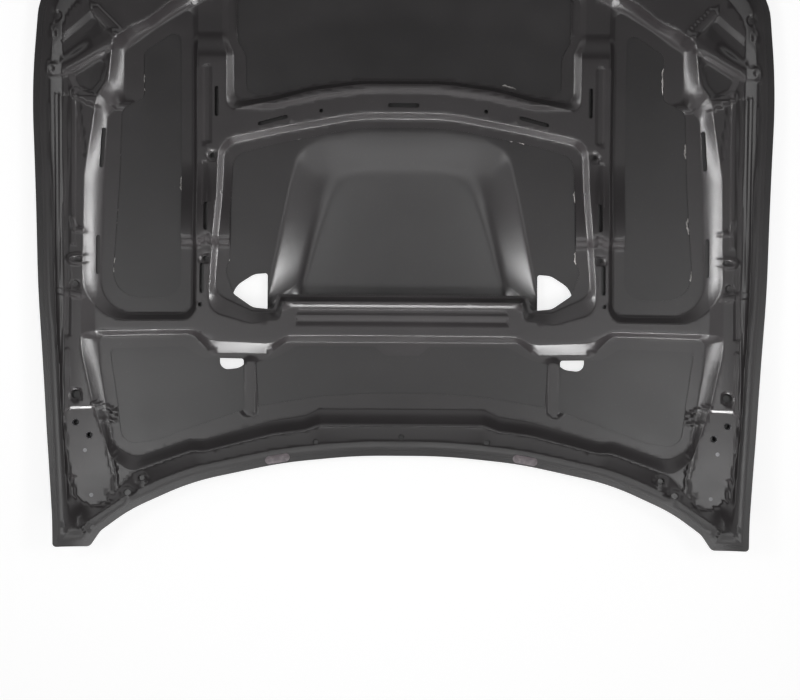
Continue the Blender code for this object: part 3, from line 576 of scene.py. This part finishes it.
def joggle(x, y):
    """The step and tail that let each long beam drop towards the crossbeam, set back at the beam's ridge."""
    setback = JOGGLE_STAGGER * ease(1 - np.abs(x - JOGGLE_MIDDLE) / JOGGLE_REACH)
    crest = JOGGLE_CREST_Y + setback
    foot = JOGGLE_FOOT_Y + setback
    rise = ease((y - foot) / (crest - foot))
    fall = (JOGGLE_TAIL_Y - y) / (JOGGLE_TAIL_Y - crest)
    across = (x > JOGGLE_LEFT) & (x < JOGGLE_RIGHT)
    return JOGGLE_RISE * np.minimum(rise, ease(fall)) * across


def fine_forms(x, y):
    """The small beads and spots pressed into the frame, on the left half."""
    h = np.zeros(np.shape(x))
    for points, width, rise in BEADS:
        h = h + rise * ease(2 - line_distance(x, y, points, width) / (width / 2))
    for cx, cy, length, width, rise in SPOTS:
        away = np.hypot((x - cx) / (length / 2), (y - cy) / (width / 2))
        h = h + rise * ease((1 - away) / 0.4)
    return h


def near_fine_forms(x, y):
    """Which points lie on or beside a narrow bead or a spot."""
    x = -np.abs(x)
    near = np.zeros(np.shape(x), bool)
    for points, width, _ in (bead for bead in BEADS if bead[1] <= NARROW_BEAD):
        near |= line_distance(x, y, points, width + FORM_MARGIN) < width + FORM_MARGIN / 2
    for cx, cy, length, width, _ in SPOTS:
        near |= np.hypot(x - cx, y - cy) < max(length, width) / 2 + FORM_MARGIN
    return near


def frame_height(x, y):
    """Height of the frame's lower face above the skin."""
    x = -np.abs(x)
    ramp = ease((y - REAR + REAR_RAMP_SETBACK) / REAR_RAMP_LENGTH)
    h = REAR_LEVEL + (RAIL_LEVEL - REAR_LEVEL) * ramp
    beam = BEAM_LEVEL - FORE_DROP * ease((y - FORE_START) / FORE_LENGTH)
    beam = beam + raised(x, y, ARCH_RISE, LOOPS["arch_crest"], LOOPS["arch_foot"])
    h = beam + (h - beam) * between(x, y, *wall("field"))
    for level, name in ((CORNER_LEVEL, "corner"), (NOTCH_LEVEL, "notch")):
        h = level + (h - level) * between(x, y, *wall(name))
    slope = 1 - between(x, y, LOOPS["slope_top"], LOOPS["seam_top"])
    h = SEAM_RISE + (h - SEAM_RISE) * slope
    h = h + raised(x, y, CROSSBAR_RISE, LOOPS["crest"], LOOPS["crossbar"])
    for name in ("side", "front", "scoop", "rear"):
        h = MASTIC_GAP + (h - MASTIC_GAP) * between(x, y, *wall(name))
    h = h + joggle(x, y)
    for cx, cy, size in DISHES:
        away = np.hypot(x - cx, y - cy)
        h = h - DISH_DEPTH * ease((size / 2 - away) / (size / 4))
    h = h + fine_forms(x, y)
    seam = 1 - between(x, y, LOOPS["seam_top"], LOOPS["seam_foot"])
    return SEAT_GAP + (h - SEAT_GAP) * seam


def pad_plane(x, y):
    """The flat face of the hinge pad, level with the frame's lower face at the middle of the pad."""
    middle = np.array([c[:2] for c in PAD], float).mean(axis=0)
    across, along = -np.abs(x) - middle[0], y - middle[1]
    slope_y = 2 * LENGTH_CROWN * (middle[1] - CREST_Y)
    slope_x = 2 * SIDE_CROWN * middle[0]
    return skin_z(middle[0], middle[1]) + PAD_LEVEL + slope_x * across + slope_y * along


def frame_z(x, y):
    """Height of the frame's lower face."""
    z = skin_z(x, y) + frame_height(x, y)
    blend = between(-np.abs(x), y, LOOPS["pad"], LOOPS["pad_foot"])
    return pad_plane(x, y) + (z - pad_plane(x, y)) * blend


def circle(x, y, diameter):
    turn = [2 * math.pi * (k + 0.5) / HOLE_SIDES for k in range(HOLE_SIDES)]
    return np.array([(x + diameter / 2 * math.cos(a), y + diameter / 2 * math.sin(a)) for a in turn])


def capsule(x, y, length, width, direction):
    """A slot outline with round ends."""
    ends = HOLE_SIDES // 2
    angle = math.radians(direction)
    along = np.array([math.cos(angle), math.sin(angle)])
    across = np.array([-math.sin(angle), math.cos(angle)])
    rows = []
    for side in (1, -1):
        centre = np.array([x, y]) + side * along * (length - width) / 2
        for k in range(ends + 1):
            a = -math.pi / 2 + math.pi * k / ends
            rows.append(centre + side * width / 2 * (math.cos(a) * along + math.sin(a) * across))
    return np.array(rows)


def flipped(loop):
    return loop[::-1] * np.array([-1.0, 1.0])


def frame_holes():
    """Everything that is cut through the inner frame."""
    left = [LOOPS["side_cut"], LOOPS["rear_left_cut"]]
    left += [capsule(*slot) for slot in SLOTS]
    left += [circle(*hole) for hole in HOLES]
    left += [circle(x, y, SCREW_HOLE) for x, y in SCREW_HOLES]
    middle = [LOOPS["front_cut"], LOOPS["scoop_cut"], LOOPS["middle_cut"]]
    middle += [capsule(*CENTRE_SLOT), circle(*CENTRE_HOLE)]
    return left + [flipped(loop) for loop in left] + middle


def gather(loops, points):
    """Adds each loop's points to the list and gives back their indices, loop by loop."""
    rows = []
    for loop in loops:
        rows.append(list(range(len(points), len(points) + len(loop))))
        points += [tuple(p) for p in loop]
    return rows


def grid(spacing):
    """Points of a square grid over the whole plan, the same on both sides of the centre line."""
    reach = spacing * math.ceil(PLAN_REACH / spacing)
    steps = np.arange(-reach, reach + spacing / 2, spacing)
    x, y = np.meshgrid(steps, steps)
    return x.ravel(), y.ravel()


def clear_of(x, y, border, holes, spacing):
    """Which points lie inside the border, off the seam's ladders and clear of every hole."""
    keep = loop_distance(x, y, border) > SEAM_STEP + spacing * SEAM_CLEARANCE
    for hole in holes:
        low, high = hole.min(axis=0) - spacing, hole.max(axis=0) + spacing
        near = keep & (x > low[0]) & (x < high[0]) & (y > low[1]) & (y < high[1])
        keep[near] &= loop_distance(x[near], y[near], hole) < -spacing * HOLE_CLEARANCE
    return keep


def bent_cells(height, mark):
    """The cells of a coarse grid in which the sheet bends by more than the mark."""
    x, y = grid(LOOK_GRID)
    side = round(math.sqrt(len(x)))
    left = side // 2 + 1
    half_x, half_y = x.reshape(side, side)[:, :left], y.reshape(side, side)[:, :left]
    z = height(half_x, half_y)
    z = np.concatenate([z, z[:, -2::-1]], axis=1)
    bend = np.zeros_like(z)
    bend[:, 1:-1] = np.abs(z[:, :-2] + z[:, 2:] - 2 * z[:, 1:-1])
    bend[1:-1, :] = np.maximum(bend[1:-1, :], np.abs(z[:-2, :] + z[2:, :] - 2 * z[1:-1, :]))
    return bend > mark


def resampled(loop, pitch):
    """Points at equal steps round a loop."""
    closed = np.vstack([loop, loop[:1]])
    along = np.concatenate([[0], np.cumsum(np.hypot(*np.diff(closed, axis=0).T))])
    places = np.linspace(0, along[-1], round(along[-1] / pitch), endpoint=False)
    return np.column_stack([np.interp(places, along, closed[:, 0]), np.interp(places, along, closed[:, 1])])


def pressed_walls():
    """The foot and top loops of the frame's walls, on both sides."""
    pairs = [wall(name) for name in ("field", "front", "scoop", "rear")]
    pairs += [(LOOPS["arch_crest"], LOOPS["arch_foot"]), (LOOPS["crest"], LOOPS["crossbar"])]
    left = [wall(name) for name in ("side", "corner", "notch")]
    return pairs + left + [(flipped(foot), flipped(top)) for foot, top in left]


def wall_rows(foot, top):
    """Mesh points in rows along a wall, from its top loop to the nearest places on its foot loop."""
    high, low = resampled(top, WALL_PITCH), resampled(foot, 1.0)
    away = ((high[:, None] - low[None]) ** 2).sum(2)
    feet = low[away.argmin(axis=1)]
    return np.concatenate([feet + (high - feet) * t for t in WALL_ROWS])


def on_walls(x, y, walls):
    found = np.zeros(len(x), bool)
    for foot, top in walls:
        found |= inside_loop(x, y, top) & ~inside_loop(x, y, foot)
    return found


def thinned(points):
    """One point for each small square that holds any."""
    _, first = np.unique(np.rint(points / WALL_SQUARE), axis=0, return_index=True)
    return points[np.sort(first)]


def every(steps, x, y):
    """Which points of the fine grid are left when only one in so many rows and columns is taken."""
    column, row = (np.rint(v / FINE_GRID).astype(int) % steps for v in (x, y))
    return (column == 0) & (row == 0)


def bent_points(border, holes, height, mark, steps, walls):
    """Rows of points on the walls, a closer grid where the sheet bends elsewhere and a plain one on flats."""
    bent = bent_cells(height, mark)
    middle = len(bent) // 2
    x, y = grid(FINE_GRID)
    column, row = (np.clip(np.rint(v / LOOK_GRID).astype(int) + middle, 0, len(bent) - 1) for v in (x, y))
    keep = (bent[row, column] & every(steps, x, y)) | every(PLAIN_STEPS, x, y)
    if walls:
        keep |= near_fine_forms(x, y)
    x, y = x[keep], y[keep]
    keep = ~on_walls(x, y, walls)
    x, y = x[keep], y[keep]
    if walls:
        rows = thinned(np.concatenate([wall_rows(foot, top) for foot, top in walls]))
        x, y = np.concatenate([x, rows[:, 0]]), np.concatenate([y, rows[:, 1]])
    keep = clear_of(x, y, border, holes, FINE_GRID)
    return x[keep], y[keep]


def plan_mesh(border, lines, holes, gx, gy, ladders=0):
    """Points and triangles of a plan region, with its inner lines kept as edges.

    The border and the first inner lines, as many as there are ladders, are joined point by point.
    """
    points = []
    regions = gather([border] + holes, points)
    rows = gather(lines, points)
    edges = [(row[k - 1], row[k]) for row in rows for k in range(len(row))]
    for outer, inner in zip((regions[:1] + rows)[:ladders], rows):
        edges += [(outer[k - 1], inner[k]) for k in range(len(outer))]
        edges += [(outer[k], inner[k]) for k in range(len(outer))]
    points += list(zip(gx, gy))
    flat = [Vector((float(px), float(py))) for px, py in points]
    verts, _, faces, _, _, sources = delaunay_2d_cdt(flat, edges, regions, 0, MERGE)
    kept = [upward(face, verts) for face, source in zip(faces, sources) if list(source) == [0]]
    used = sorted({i for face in kept for i in face})
    index = {old: new for new, old in enumerate(used)}
    plan = np.array([tuple(verts[i]) for i in used])
    return plan, np.array([[index[i] for i in face] for face in kept])


def upward(face, verts):
    a, b, c = (verts[i] for i in face)
    area = (b - a).cross(c - a)
    return face if area > 0 else face[::-1]


def open_edges(faces):
    """Directed edges that only one triangle has."""
    ends = np.concatenate([faces[:, [0, 1]], faces[:, [1, 2]], faces[:, [2, 0]]])
    known = {tuple(e) for e in ends}
    return [tuple(e) for e in ends if (e[1], e[0]) not in known]


def sheet_mesh(verts, faces, low, high):
    """A closed sheet between two heights over the same plan."""
    count = len(verts)
    points = np.concatenate([np.column_stack([verts, low]), np.column_stack([verts, high])])
    all_faces = [tuple(f) for f in faces[:, ::-1]] + [tuple(f + count) for f in faces]
    all_faces += [(a, b, b + count, a + count) for a, b in open_edges(faces)]
    return points, all_faces


def new_object(name, data):
    obj = bpy.data.objects.new(name, data)
    bpy.context.scene.collection.objects.link(obj)
    return obj


def add_piece(name, points, faces, material, nodes=(), crease=SHEET_CREASE):
    """One piece of the scene that rides on the bonnet and stands for CAD nodes."""
    mesh = bpy.data.meshes.new(name)
    place = (np.array(points, float) + SETTLE) * MM
    mesh.from_pydata([tuple(map(float, p)) for p in place], [], [tuple(int(i) for i in f) for f in faces])
    mesh.validate()
    obj = new_object(name, mesh)
    mesh.materials.append(material)
    mesh.shade_smooth()
    mesh.set_sharp_from_angle(angle=math.radians(crease))
    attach(obj, "root")
    if nodes:
        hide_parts(*nodes)
    return obj


def true_normals(obj, height, verts):
    """Turns the shading of both broad faces of a sheet to the slope of its height, to hide mesh lines."""
    x, y = verts[:, 0], verts[:, 1]
    across = (height(x + SLOPE_STEP, y) - height(x - SLOPE_STEP, y)) / (2 * SLOPE_STEP)
    along = (height(x, y + SLOPE_STEP) - height(x, y - SLOPE_STEP)) / (2 * SLOPE_STEP)
    top = np.column_stack([-across, -along, np.ones(len(x))])
    top /= np.linalg.norm(top, axis=1)[:, None]
    mesh = obj.data
    corners = np.empty(len(mesh.loops), int)
    mesh.loops.foreach_get("vertex_index", corners)
    normals = np.concatenate([-top, top])[corners]
    for face in mesh.polygons:
        if len(face.vertices) == 4:
            normals[list(face.loop_indices)] = face.normal
    mesh.normals_split_custom_set(normals.tolist())


def paint_shade(obj, shade):
    """Stores painted shade as a share of full colour for each point of the mesh, from 0, black, to 1."""
    layer = obj.data.color_attributes.new("shade", "FLOAT_COLOR", "POINT")
    colours = np.repeat(shade[:, None], 4, axis=1)
    colours[:, 3] = 1
    layer.data.foreach_set("color", colours.astype(np.float32).ravel())


# Painted shade in place of the small holes: the colour falls to a tenth at each hole's middle and fades back
# out past its rim
def painted_hole_shade(x, y):
    shade = np.ones(len(x))
    for cx, cy, size in HOLE_SHADE_SPOTS:
        away = np.hypot(-np.abs(x) - cx, y - cy)
        shade = np.minimum(shade, ease(away / size * 4 - 1.5) * 0.9 + 0.1)
    return shade


def seam_lines():
    return [LOOPS[name] for name in ("hem_edge", "seam_foot", "seam_top")]


def dress_frame(material):
    border, holes = LOOPS["frame_edge"], frame_holes()
    lines = seam_lines()
    spots = [circle(x, y, size) for x, y, size in HOLE_SHADE_SPOTS]
    lines += spots + [flipped(spot) for spot in spots]
    gx, gy = bent_points(border, holes, frame_z, FRAME_BEND, 2, pressed_walls())
    verts, faces = plan_mesh(border, lines, holes, gx, gy, SEAM_LADDERS)
    low = frame_z(verts[:, 0], verts[:, 1])
    points, all_faces = sheet_mesh(verts, faces, low, low + FRAME_SHEET)
    frame_piece = add_piece("pressed_frame", points, all_faces, material, ["inner_frame"])
    true_normals(frame_piece, frame_z, verts)
    # Painted shade: the small holes are darkened in the frame's colour, not cut
    paint_shade(frame_piece, np.tile(painted_hole_shade(verts[:, 0], verts[:, 1]), 2))


def dress_skin(material):
    inner = LOOPS["skin_inside"]
    lines = seam_lines()
    gx, gy = bent_points(inner, [LOOPS["mouth"]], bulged_z, SKIN_BEND, 1, [])
    verts, faces = plan_mesh(inner, lines, [LOOPS["mouth"]], gx, gy, SEAM_LADDERS)
    top = bulged_z(verts[:, 0], verts[:, 1])
    points, all_faces = sheet_mesh(verts, faces, top - SKIN_SHEET, top)
    count = len(verts)
    away = np.hypot(verts[:, None, 0] - inner[None, :, 0], verts[:, None, 1] - inner[None, :, 1])
    chain = away.argmin(axis=0)
    low, high = [int(i) for i in chain], [int(i) + count for i in chain]
    points, all_faces = fold_hem(list(map(tuple, points)), all_faces, low, high)
    add_piece("hemmed_skin", points, all_faces, material, ["outer_skin"])


def wavy(t, waves, phases):
    return sum(height * np.sin(number * t + phase) for (number, height), phase in zip(waves, phases))


def squeezed_bead(name, x, y, length, direction, random, material):
    """A lumpy run of mastic pressed out from under a flange, standing for one plain pad."""
    angle = math.radians(direction)
    along = np.array([math.cos(angle), math.sin(angle)])
    across = np.array([-along[1], along[0]])
    phases = random.uniform(0, 2 * math.pi, 4)
    t = np.linspace(-1, 1, BEAD_STEPS)
    taper = np.sqrt(np.maximum(1 - t ** 4, 0.02))
    lump = 1 + wavy(t, WIDTH_WAVES, phases[:2])
    sway = BEAD_BOW * (1 - t ** 2) + wavy(t, LINE_WAVES, phases[2:])
    turn = 2 * math.pi * np.arange(BEAD_SIDES) / BEAD_SIDES
    reach = sway[:, None] + (MASTIC_WIDTH / 2 * taper * lump)[:, None] * np.cos(turn)
    shift = t[:, None] * length / 2
    px = (x + along[0] * shift + across[0] * reach).ravel()
    py = (y + along[1] * shift + across[1] * reach).ravel()
    rise = (MASTIC_HEIGHT * taper[:, None] * (0.5 + 0.5 * np.sin(turn))).ravel()
    points = np.column_stack([px, py, bulged_z(px, py) + SEAT_GAP + rise])
    faces = []
    for row in range(0, (BEAD_STEPS - 1) * BEAD_SIDES, BEAD_SIDES):
        for j in range(BEAD_SIDES):
            n = (j + 1) % BEAD_SIDES
            faces.append((row + j, row + n, row + BEAD_SIDES + n, row + BEAD_SIDES + j))
    faces.append(tuple(reversed(range(BEAD_SIDES))))
    faces.append(tuple(range((BEAD_STEPS - 1) * BEAD_SIDES, BEAD_STEPS * BEAD_SIDES)))
    faces = outward(points, faces)
    add_piece("squeezed_" + name, points, faces, material, [name], SOFT_CREASE)


def outward(points, faces):
    """The same faces, turned round if the body they close is inside out."""
    p = np.array(points, float)
    total = sum(np.dot(p[f[0]], np.cross(p[f[i]], p[f[i + 1]])) for f in faces for i in range(1, len(f) - 1))
    return faces if total > 0 else [tuple(reversed(f)) for f in faces]


def dress_mastic(material):
    random = np.random.default_rng(7)
    for side, rows in (("left", MASTIC_LEFT), ("right", MASTIC_RIGHT)):
        for number, (x, y, length, direction) in enumerate(rows, 1):
            squeezed_bead(f"mastic_{side}_{number}", x, y, length, direction, random, material)


def dress_buffers(material):
    """The two stick-on pads: soft cushions with rounded tops."""
    x, y, direction = BUFFER_PLACE
    low = 3 * SEAT_GAP + FRAME_SHEET + SKIN_SHEET
    for side, sign in (("left", 1), ("right", -1)):
        border = capsule(sign * x, y, BUFFER_LENGTH, BUFFER_WIDTH, sign * direction)
        gx, gy = np.meshgrid(np.arange(-30, 31, 2.0) + sign * x, np.arange(-16, 17, 2.0) + y)
        gx, gy = gx.ravel(), gy.ravel()
        keep = loop_distance(gx, gy, border) > 1
        verts, faces = plan_mesh(border, [], [], gx[keep], gy[keep])
        base = skin_z(verts[:, 0], verts[:, 1]) + low
        dome = ease(loop_distance(verts[:, 0], verts[:, 1], border) / 4)
        ripple = 0.12 * np.sin(verts[:, 0] * 0.9) * np.sin(verts[:, 1] * 1.3)
        high = base + BUFFER_HEIGHT * (0.45 + 0.5 * dome) + ripple * dome
        points, all_faces = sheet_mesh(verts, faces, base, high)
        name = "buffer_pad_" + side
        pad = add_piece("soft_" + name, points, all_faces, material, [name], SOFT_CREASE)


def dress_kept_nodes(zinc, dark):
    """Better materials on the CAD nodes that stay."""
    for name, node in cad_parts.items():
        for prefix, material in (("hinge_reinforcement", zinc), ("latch", zinc), ("weld_nut", dark)):
            if name.startswith(prefix):
                node.data.materials.clear()
                node.data.materials.append(material)


def fold_hem(points, faces, low, high):
    """Replaces the sheet's plain edge by the hem: out, up, in and back down to the sheet."""
    rim = {frozenset((a, b)) for a, b in zip(low, low[1:] + low[:1])}
    faces = [f for f in faces if not (len(f) == 4 and frozenset((f[0], f[1])) in rim)]
    rings = [low]
    top = 2 * SEAT_GAP + FRAME_SHEET + SKIN_SHEET
    for name, rise in (
        ("outline", -SKIN_SHEET), ("outline", top), ("hem_edge", top), ("hem_edge", top - SKIN_SHEET),
        ("skin_inside", top - SKIN_SHEET),
    ):
        ring = []
        for x, y in LOOPS[name]:
            ring.append(len(points))
            points.append((x, y, float(skin_z(x, y)) + rise))
        rings.append(ring)
    rings.append(high)
    for first, second in zip(rings, rings[1:]):
        for k in range(len(first)):
            n = (k + 1) % len(first)
            faces += [(first[k], first[n], second[k]), (first[n], second[n], second[k])]
    return points, faces


def set_inputs(node, **values):
    """Sets inputs of a shader node by their names, with _ for each space."""
    for name, value in values.items():
        node.inputs[name.replace("_", " ")].default_value = value
    return node


def new_material(name, colour, roughness, metallic=0.0):
    material = bpy.data.materials.new(name)
    material.use_nodes = True
    shader = material.node_tree.nodes["Principled BSDF"]
    set_inputs(shader, Base_Color=(*colour, 1), Metallic=metallic, Roughness=roughness)
    return material, material.node_tree.nodes, material.node_tree.links, shader


def noise(nodes, links, scale, detail, place):
    node = set_inputs(nodes.new("ShaderNodeTexNoise"), Scale=scale, Detail=detail)
    links.new(place, node.inputs["Vector"])
    return node.outputs["Fac"]


def ramp(nodes, links, value, stops):
    """A colour ramp through (position, colour) stops."""
    node = nodes.new("ShaderNodeValToRGB")
    elements = node.color_ramp.elements
    while len(elements) < len(stops):
        elements.new(0.5)
    for element, (position, colour) in zip(elements, stops):
        element.position = position
        element.color = (*colour, 1)
    links.new(value, node.inputs["Fac"])
    return node.outputs["Color"]


def grey(level):
    return (level, level, level)


def mixed(nodes, links, share, first, second, mode="MIX"):
    node = nodes.new("ShaderNodeMix")
    node.data_type = "RGBA"
    node.blend_type = mode
    for value, slot in ((share, 0), (first, 6), (second, 7)):
        if hasattr(value, "is_output"):
            links.new(value, node.inputs[slot])
        else:
            node.inputs[slot].default_value = value
    return node.outputs[2]


def roughen(nodes, links, shader, height, strength):
    bump = set_inputs(nodes.new("ShaderNodeBump"), Strength=strength, Distance=BUMP_DEPTH)
    links.new(height, bump.inputs["Height"])
    links.new(bump.outputs["Normal"], shader.inputs["Normal"])


def primer_material(name, colour, roughness, shaded):
    """Dipped primer on pressed steel: slight clouding, drawing marks, a fine orange peel and dust."""
    material, nodes, links, shader = new_material(name, colour, roughness)
    place = nodes.new("ShaderNodeTexCoord").outputs["Object"]
    cloud = noise(nodes, links, 3.0, 4.0, place)
    smear = noise(nodes, links, 14.0, 5.0, place)
    speck = noise(nodes, links, 260.0, 2.0, place)
    darker = tuple(c * 0.93 for c in colour)
    lighter = tuple(c * 1.07 for c in colour)
    base = ramp(nodes, links, cloud, [(0.3, darker), (0.7, lighter)])
    streak = ramp(nodes, links, smear, [(0.35, grey(0.96)), (0.65, grey(1.03))])
    base = mixed(nodes, links, 1.0, base, streak, "MULTIPLY")
    dust = ramp(nodes, links, speck, [(0.62, grey(0)), (0.75, grey(0.03))])
    base = mixed(nodes, links, dust, base, DUST_COLOUR)
    # The painted shade of the small holes multiplies the base colour
    if shaded:
        shade = nodes.new("ShaderNodeAttribute")
        shade.attribute_name = "shade"
        base = mixed(nodes, links, 1.0, base, shade.outputs["Color"], "MULTIPLY")
    links.new(base, shader.inputs["Base Color"])
    rough = ramp(nodes, links, smear, [(0.3, grey(roughness - 0.015)), (0.7, grey(roughness + 0.02))])
    links.new(rough, shader.inputs["Roughness"])
    roughen(nodes, links, shader, noise(nodes, links, 420.0, 2.0, place), 0.05)
    return material


def clouded(name, colour, roughness, cloud, tones, peel, metallic=0.0):
    """A material clouded between tones that are each (place, share of the colour), with a fine peel."""
    material, nodes, links, shader = new_material(name, colour, roughness, metallic)
    place = nodes.new("ShaderNodeTexCoord").outputs["Object"]
    fog = noise(nodes, links, *cloud, place)
    stops = [(at, tuple(c * share for c in colour)) for at, share in tones]
    links.new(ramp(nodes, links, fog, stops), shader.inputs["Base Color"])
    scale, detail, strength = peel
    roughen(nodes, links, shader, noise(nodes, links, scale, detail, place), strength)
    return material, nodes, links, shader, fog


def metal_material(name, colour, roughness, spots):
    """Plated or phosphated steel with blotches and fine scratches."""
    tones = [(0.3, 0.7), (0.7, 1.2)]
    material, nodes, links, shader, blotch = clouded(
        name, colour, roughness, (spots, 5.0), tones, (900.0, 3.0, 0.15), METAL_SHARE
    )
    rough = ramp(nodes, links, blotch, [(0.3, grey(roughness + 0.12)), (0.7, grey(roughness - 0.08))])
    links.new(rough, shader.inputs["Roughness"])
    return material


def mastic_material():
    """Grey-beige sealing mastic, dull and a little dirty."""
    tones = [(0.35, 0.6), (0.65, 1.15)]
    return clouded("mastic", MASTIC_COLOUR, 0.6, (90.0, 4.0), tones, (500.0, 3.0, 0.4))[0]


def buffer_material():
    """Milky soft plastic with a pinkish cast over dark metal."""
    tones = [(0.35, 0.7), (0.65, 1.25)]
    made = clouded("soft plastic", BUFFER_COLOUR, 0.35, (120.0, 4.0), tones, (300.0, 2.0, 0.25))
    set_inputs(made[3], Transmission_Weight=0.15)
    return made[0]


def make_camera():
    """The photograph's view: nearly straight down, with the rear edge at the bottom."""
    data = bpy.data.cameras.new("camera")
    data.sensor_width = SENSOR_MM
    data.lens = SENSOR_MM * FOCAL_PIXELS / FRAME_WIDTH
    data.shift_x = (FRAME_WIDTH / 2 - CENTRE_COLUMN) / FRAME_WIDTH
    data.shift_y = (CENTRE_ROW - FRAME_HEIGHT / 2) / FRAME_WIDTH
    back = Vector((0, math.sin(CAMERA_TILT), math.cos(CAMERA_TILT)))
    right = Vector((1, 0, 0))
    up = back.cross(right)
    turned_right = math.cos(CAMERA_ROLL) * right + math.sin(CAMERA_ROLL) * up
    turned_up = back.cross(turned_right)
    camera = new_object("camera", data)
    camera.matrix_world = Matrix.Translation(CAMERA_AIM + back * CAMERA_DISTANCE) @ Matrix(
        (turned_right, turned_up, back)
    ).transposed().to_4x4()
    bpy.context.scene.camera = camera


def make_lamp(name, place, aim, size, power, spread=180):
    """A soft box that faces a point, with its light held within an angle in degrees."""
    data = bpy.data.lights.new(name, "AREA")
    data.shape = "RECTANGLE"
    data.size, data.size_y = size
    data.energy = power
    data.spread = math.radians(spread)
    lamp = new_object(name, data)
    lamp.location = place
    lamp.rotation_mode = "QUATERNION"
    lamp.rotation_quaternion = (Vector(aim) - Vector(place)).to_track_quat("-Z", "Y")
    lamp.visible_camera = False


def seen_directly(nodes, links):
    """1 for camera, mirror and see-through rays, 0 for light that falls on the object."""
    path = nodes.new("ShaderNodeLightPath")
    found = path.outputs["Is Camera Ray"]
    for kind in ("Is Glossy Ray", "Is Transmission Ray"):
        larger = nodes.new("ShaderNodeMath")
        larger.operation = "MAXIMUM"
        links.new(found, larger.inputs[0])
        links.new(path.outputs[kind], larger.inputs[1])
        found = larger.outputs[0]
    return found


def make_world():
    """A white room near the horizon under a dim ceiling, dimmer still as light on dull surfaces."""
    world = bpy.data.worlds.new("studio")
    world.use_nodes = True
    nodes, links = world.node_tree.nodes, world.node_tree.links
    background = set_inputs(nodes["Background"], Color=(1, 1, 1, 1))
    split = nodes.new("ShaderNodeSeparateXYZ")
    links.new(nodes.new("ShaderNodeTexCoord").outputs["Generated"], split.inputs[0])
    room = nodes.new("ShaderNodeMapRange")
    set_inputs(room, From_Min=HORIZON_HEIGHT, From_Max=CEILING_HEIGHT, To_Min=ROOM_WHITE, To_Max=ROOM_CEILING)
    links.new(split.outputs["Z"], room.inputs["Value"])
    strength = set_inputs(nodes.new("ShaderNodeMapRange"), To_Min=ROOM_LIGHT)
    links.new(seen_directly(nodes, links), strength.inputs["Value"])
    links.new(room.outputs["Result"], strength.inputs["To Max"])
    links.new(strength.outputs["Result"], background.inputs["Strength"])
    bpy.context.scene.world = world


def make_floor():
    mesh = bpy.data.meshes.new("floor")
    half = FLOOR_SIZE / 2
    corners = [(-half, -half, 0), (half, -half, 0), (half, half, 0), (-half, half, 0)]
    mesh.from_pydata(corners, [], [(0, 1, 2, 3)])
    floor = new_object("floor", mesh)
    material = bpy.data.materials.new("floor")
    material.use_nodes = True
    nodes, links = material.node_tree.nodes, material.node_tree.links
    nodes.clear()
    diffuse = set_inputs(nodes.new("ShaderNodeBsdfDiffuse"), Color=(*grey(FLOOR_GREY), 1))
    glow = nodes.new("ShaderNodeEmission")
    scale = nodes.new("ShaderNodeMath")
    scale.operation = "MULTIPLY"
    scale.inputs[1].default_value = FLOOR_GLOW
    links.new(seen_directly(nodes, links), scale.inputs[0])
    links.new(scale.outputs[0], glow.inputs["Strength"])
    total = nodes.new("ShaderNodeAddShader")
    out = nodes.new("ShaderNodeOutputMaterial")
    links.new(diffuse.outputs[0], total.inputs[0])
    links.new(glow.outputs[0], total.inputs[1])
    links.new(total.outputs[0], out.inputs["Surface"])
    mesh.materials.append(material)


def make_lamps():
    """Overhead soft boxes for the sheen of the flats, and low ones for the walls."""
    make_lamp("overhead", (0, 0.2, 2.4), (0, 0.2, 0), (1.3, 0.25), 1.0)
    make_lamp("overhead_rear", (0, -0.85, 2.4), (0, 0, 0), (1.2, 0.5), 8.0)
    make_lamp("behind_crossbeam", (0, -0.52, 0.215), (0, 0.5, 0.12), (1.3, 0.05), 2.0, 60)
    for side, sign in (("left", -1), ("right", 1)):
        make_lamp("sheen_" + side, (sign * 0.6, 0.0, 2.4), (sign * 0.45, -0.1, 0), (0.4, 0.3), 5.6)
        make_lamp("slope_" + side, (sign * 1.6, 0.05, 2.3), (sign * -0.2, 0.05, 0), (0.6, 0.6), 1.5)
        make_lamp("outer_" + side, (sign * 2.0, 0.1, 0.42), (sign * -0.6, 0.1, 0.1), (1.4, 0.16), 2.8)
        make_lamp("wall_" + side, (sign * -0.3, 0.1, 0.135), (sign, 0.1, 0.115), (0.9, 0.04), 0.55, 46)
        make_lamp("scoop_" + side, (sign * -0.25, -0.02, 0.065), (sign, -0.02, 0.06), (0.26, 0.012), 0.12, 46)


LOOPS = make_loops()
dress_frame(primer_material("primed frame", FRAME_COLOUR, PRIMER_ROUGHNESS, True))
dress_skin(primer_material("primed skin", SKIN_COLOUR, PRIMER_ROUGHNESS, False))
dress_mastic(mastic_material())
dress_buffers(buffer_material())
zinc = metal_material("zinc plate", ZINC_COLOUR, 0.45, 60.0)
phosphate = metal_material("phosphate", PHOSPHATE_COLOUR, 0.5, 200.0)
dress_kept_nodes(zinc, phosphate)
make_camera()
make_world()
make_floor()
make_lamps()
bpy.context.scene.view_settings.view_transform = "Standard"
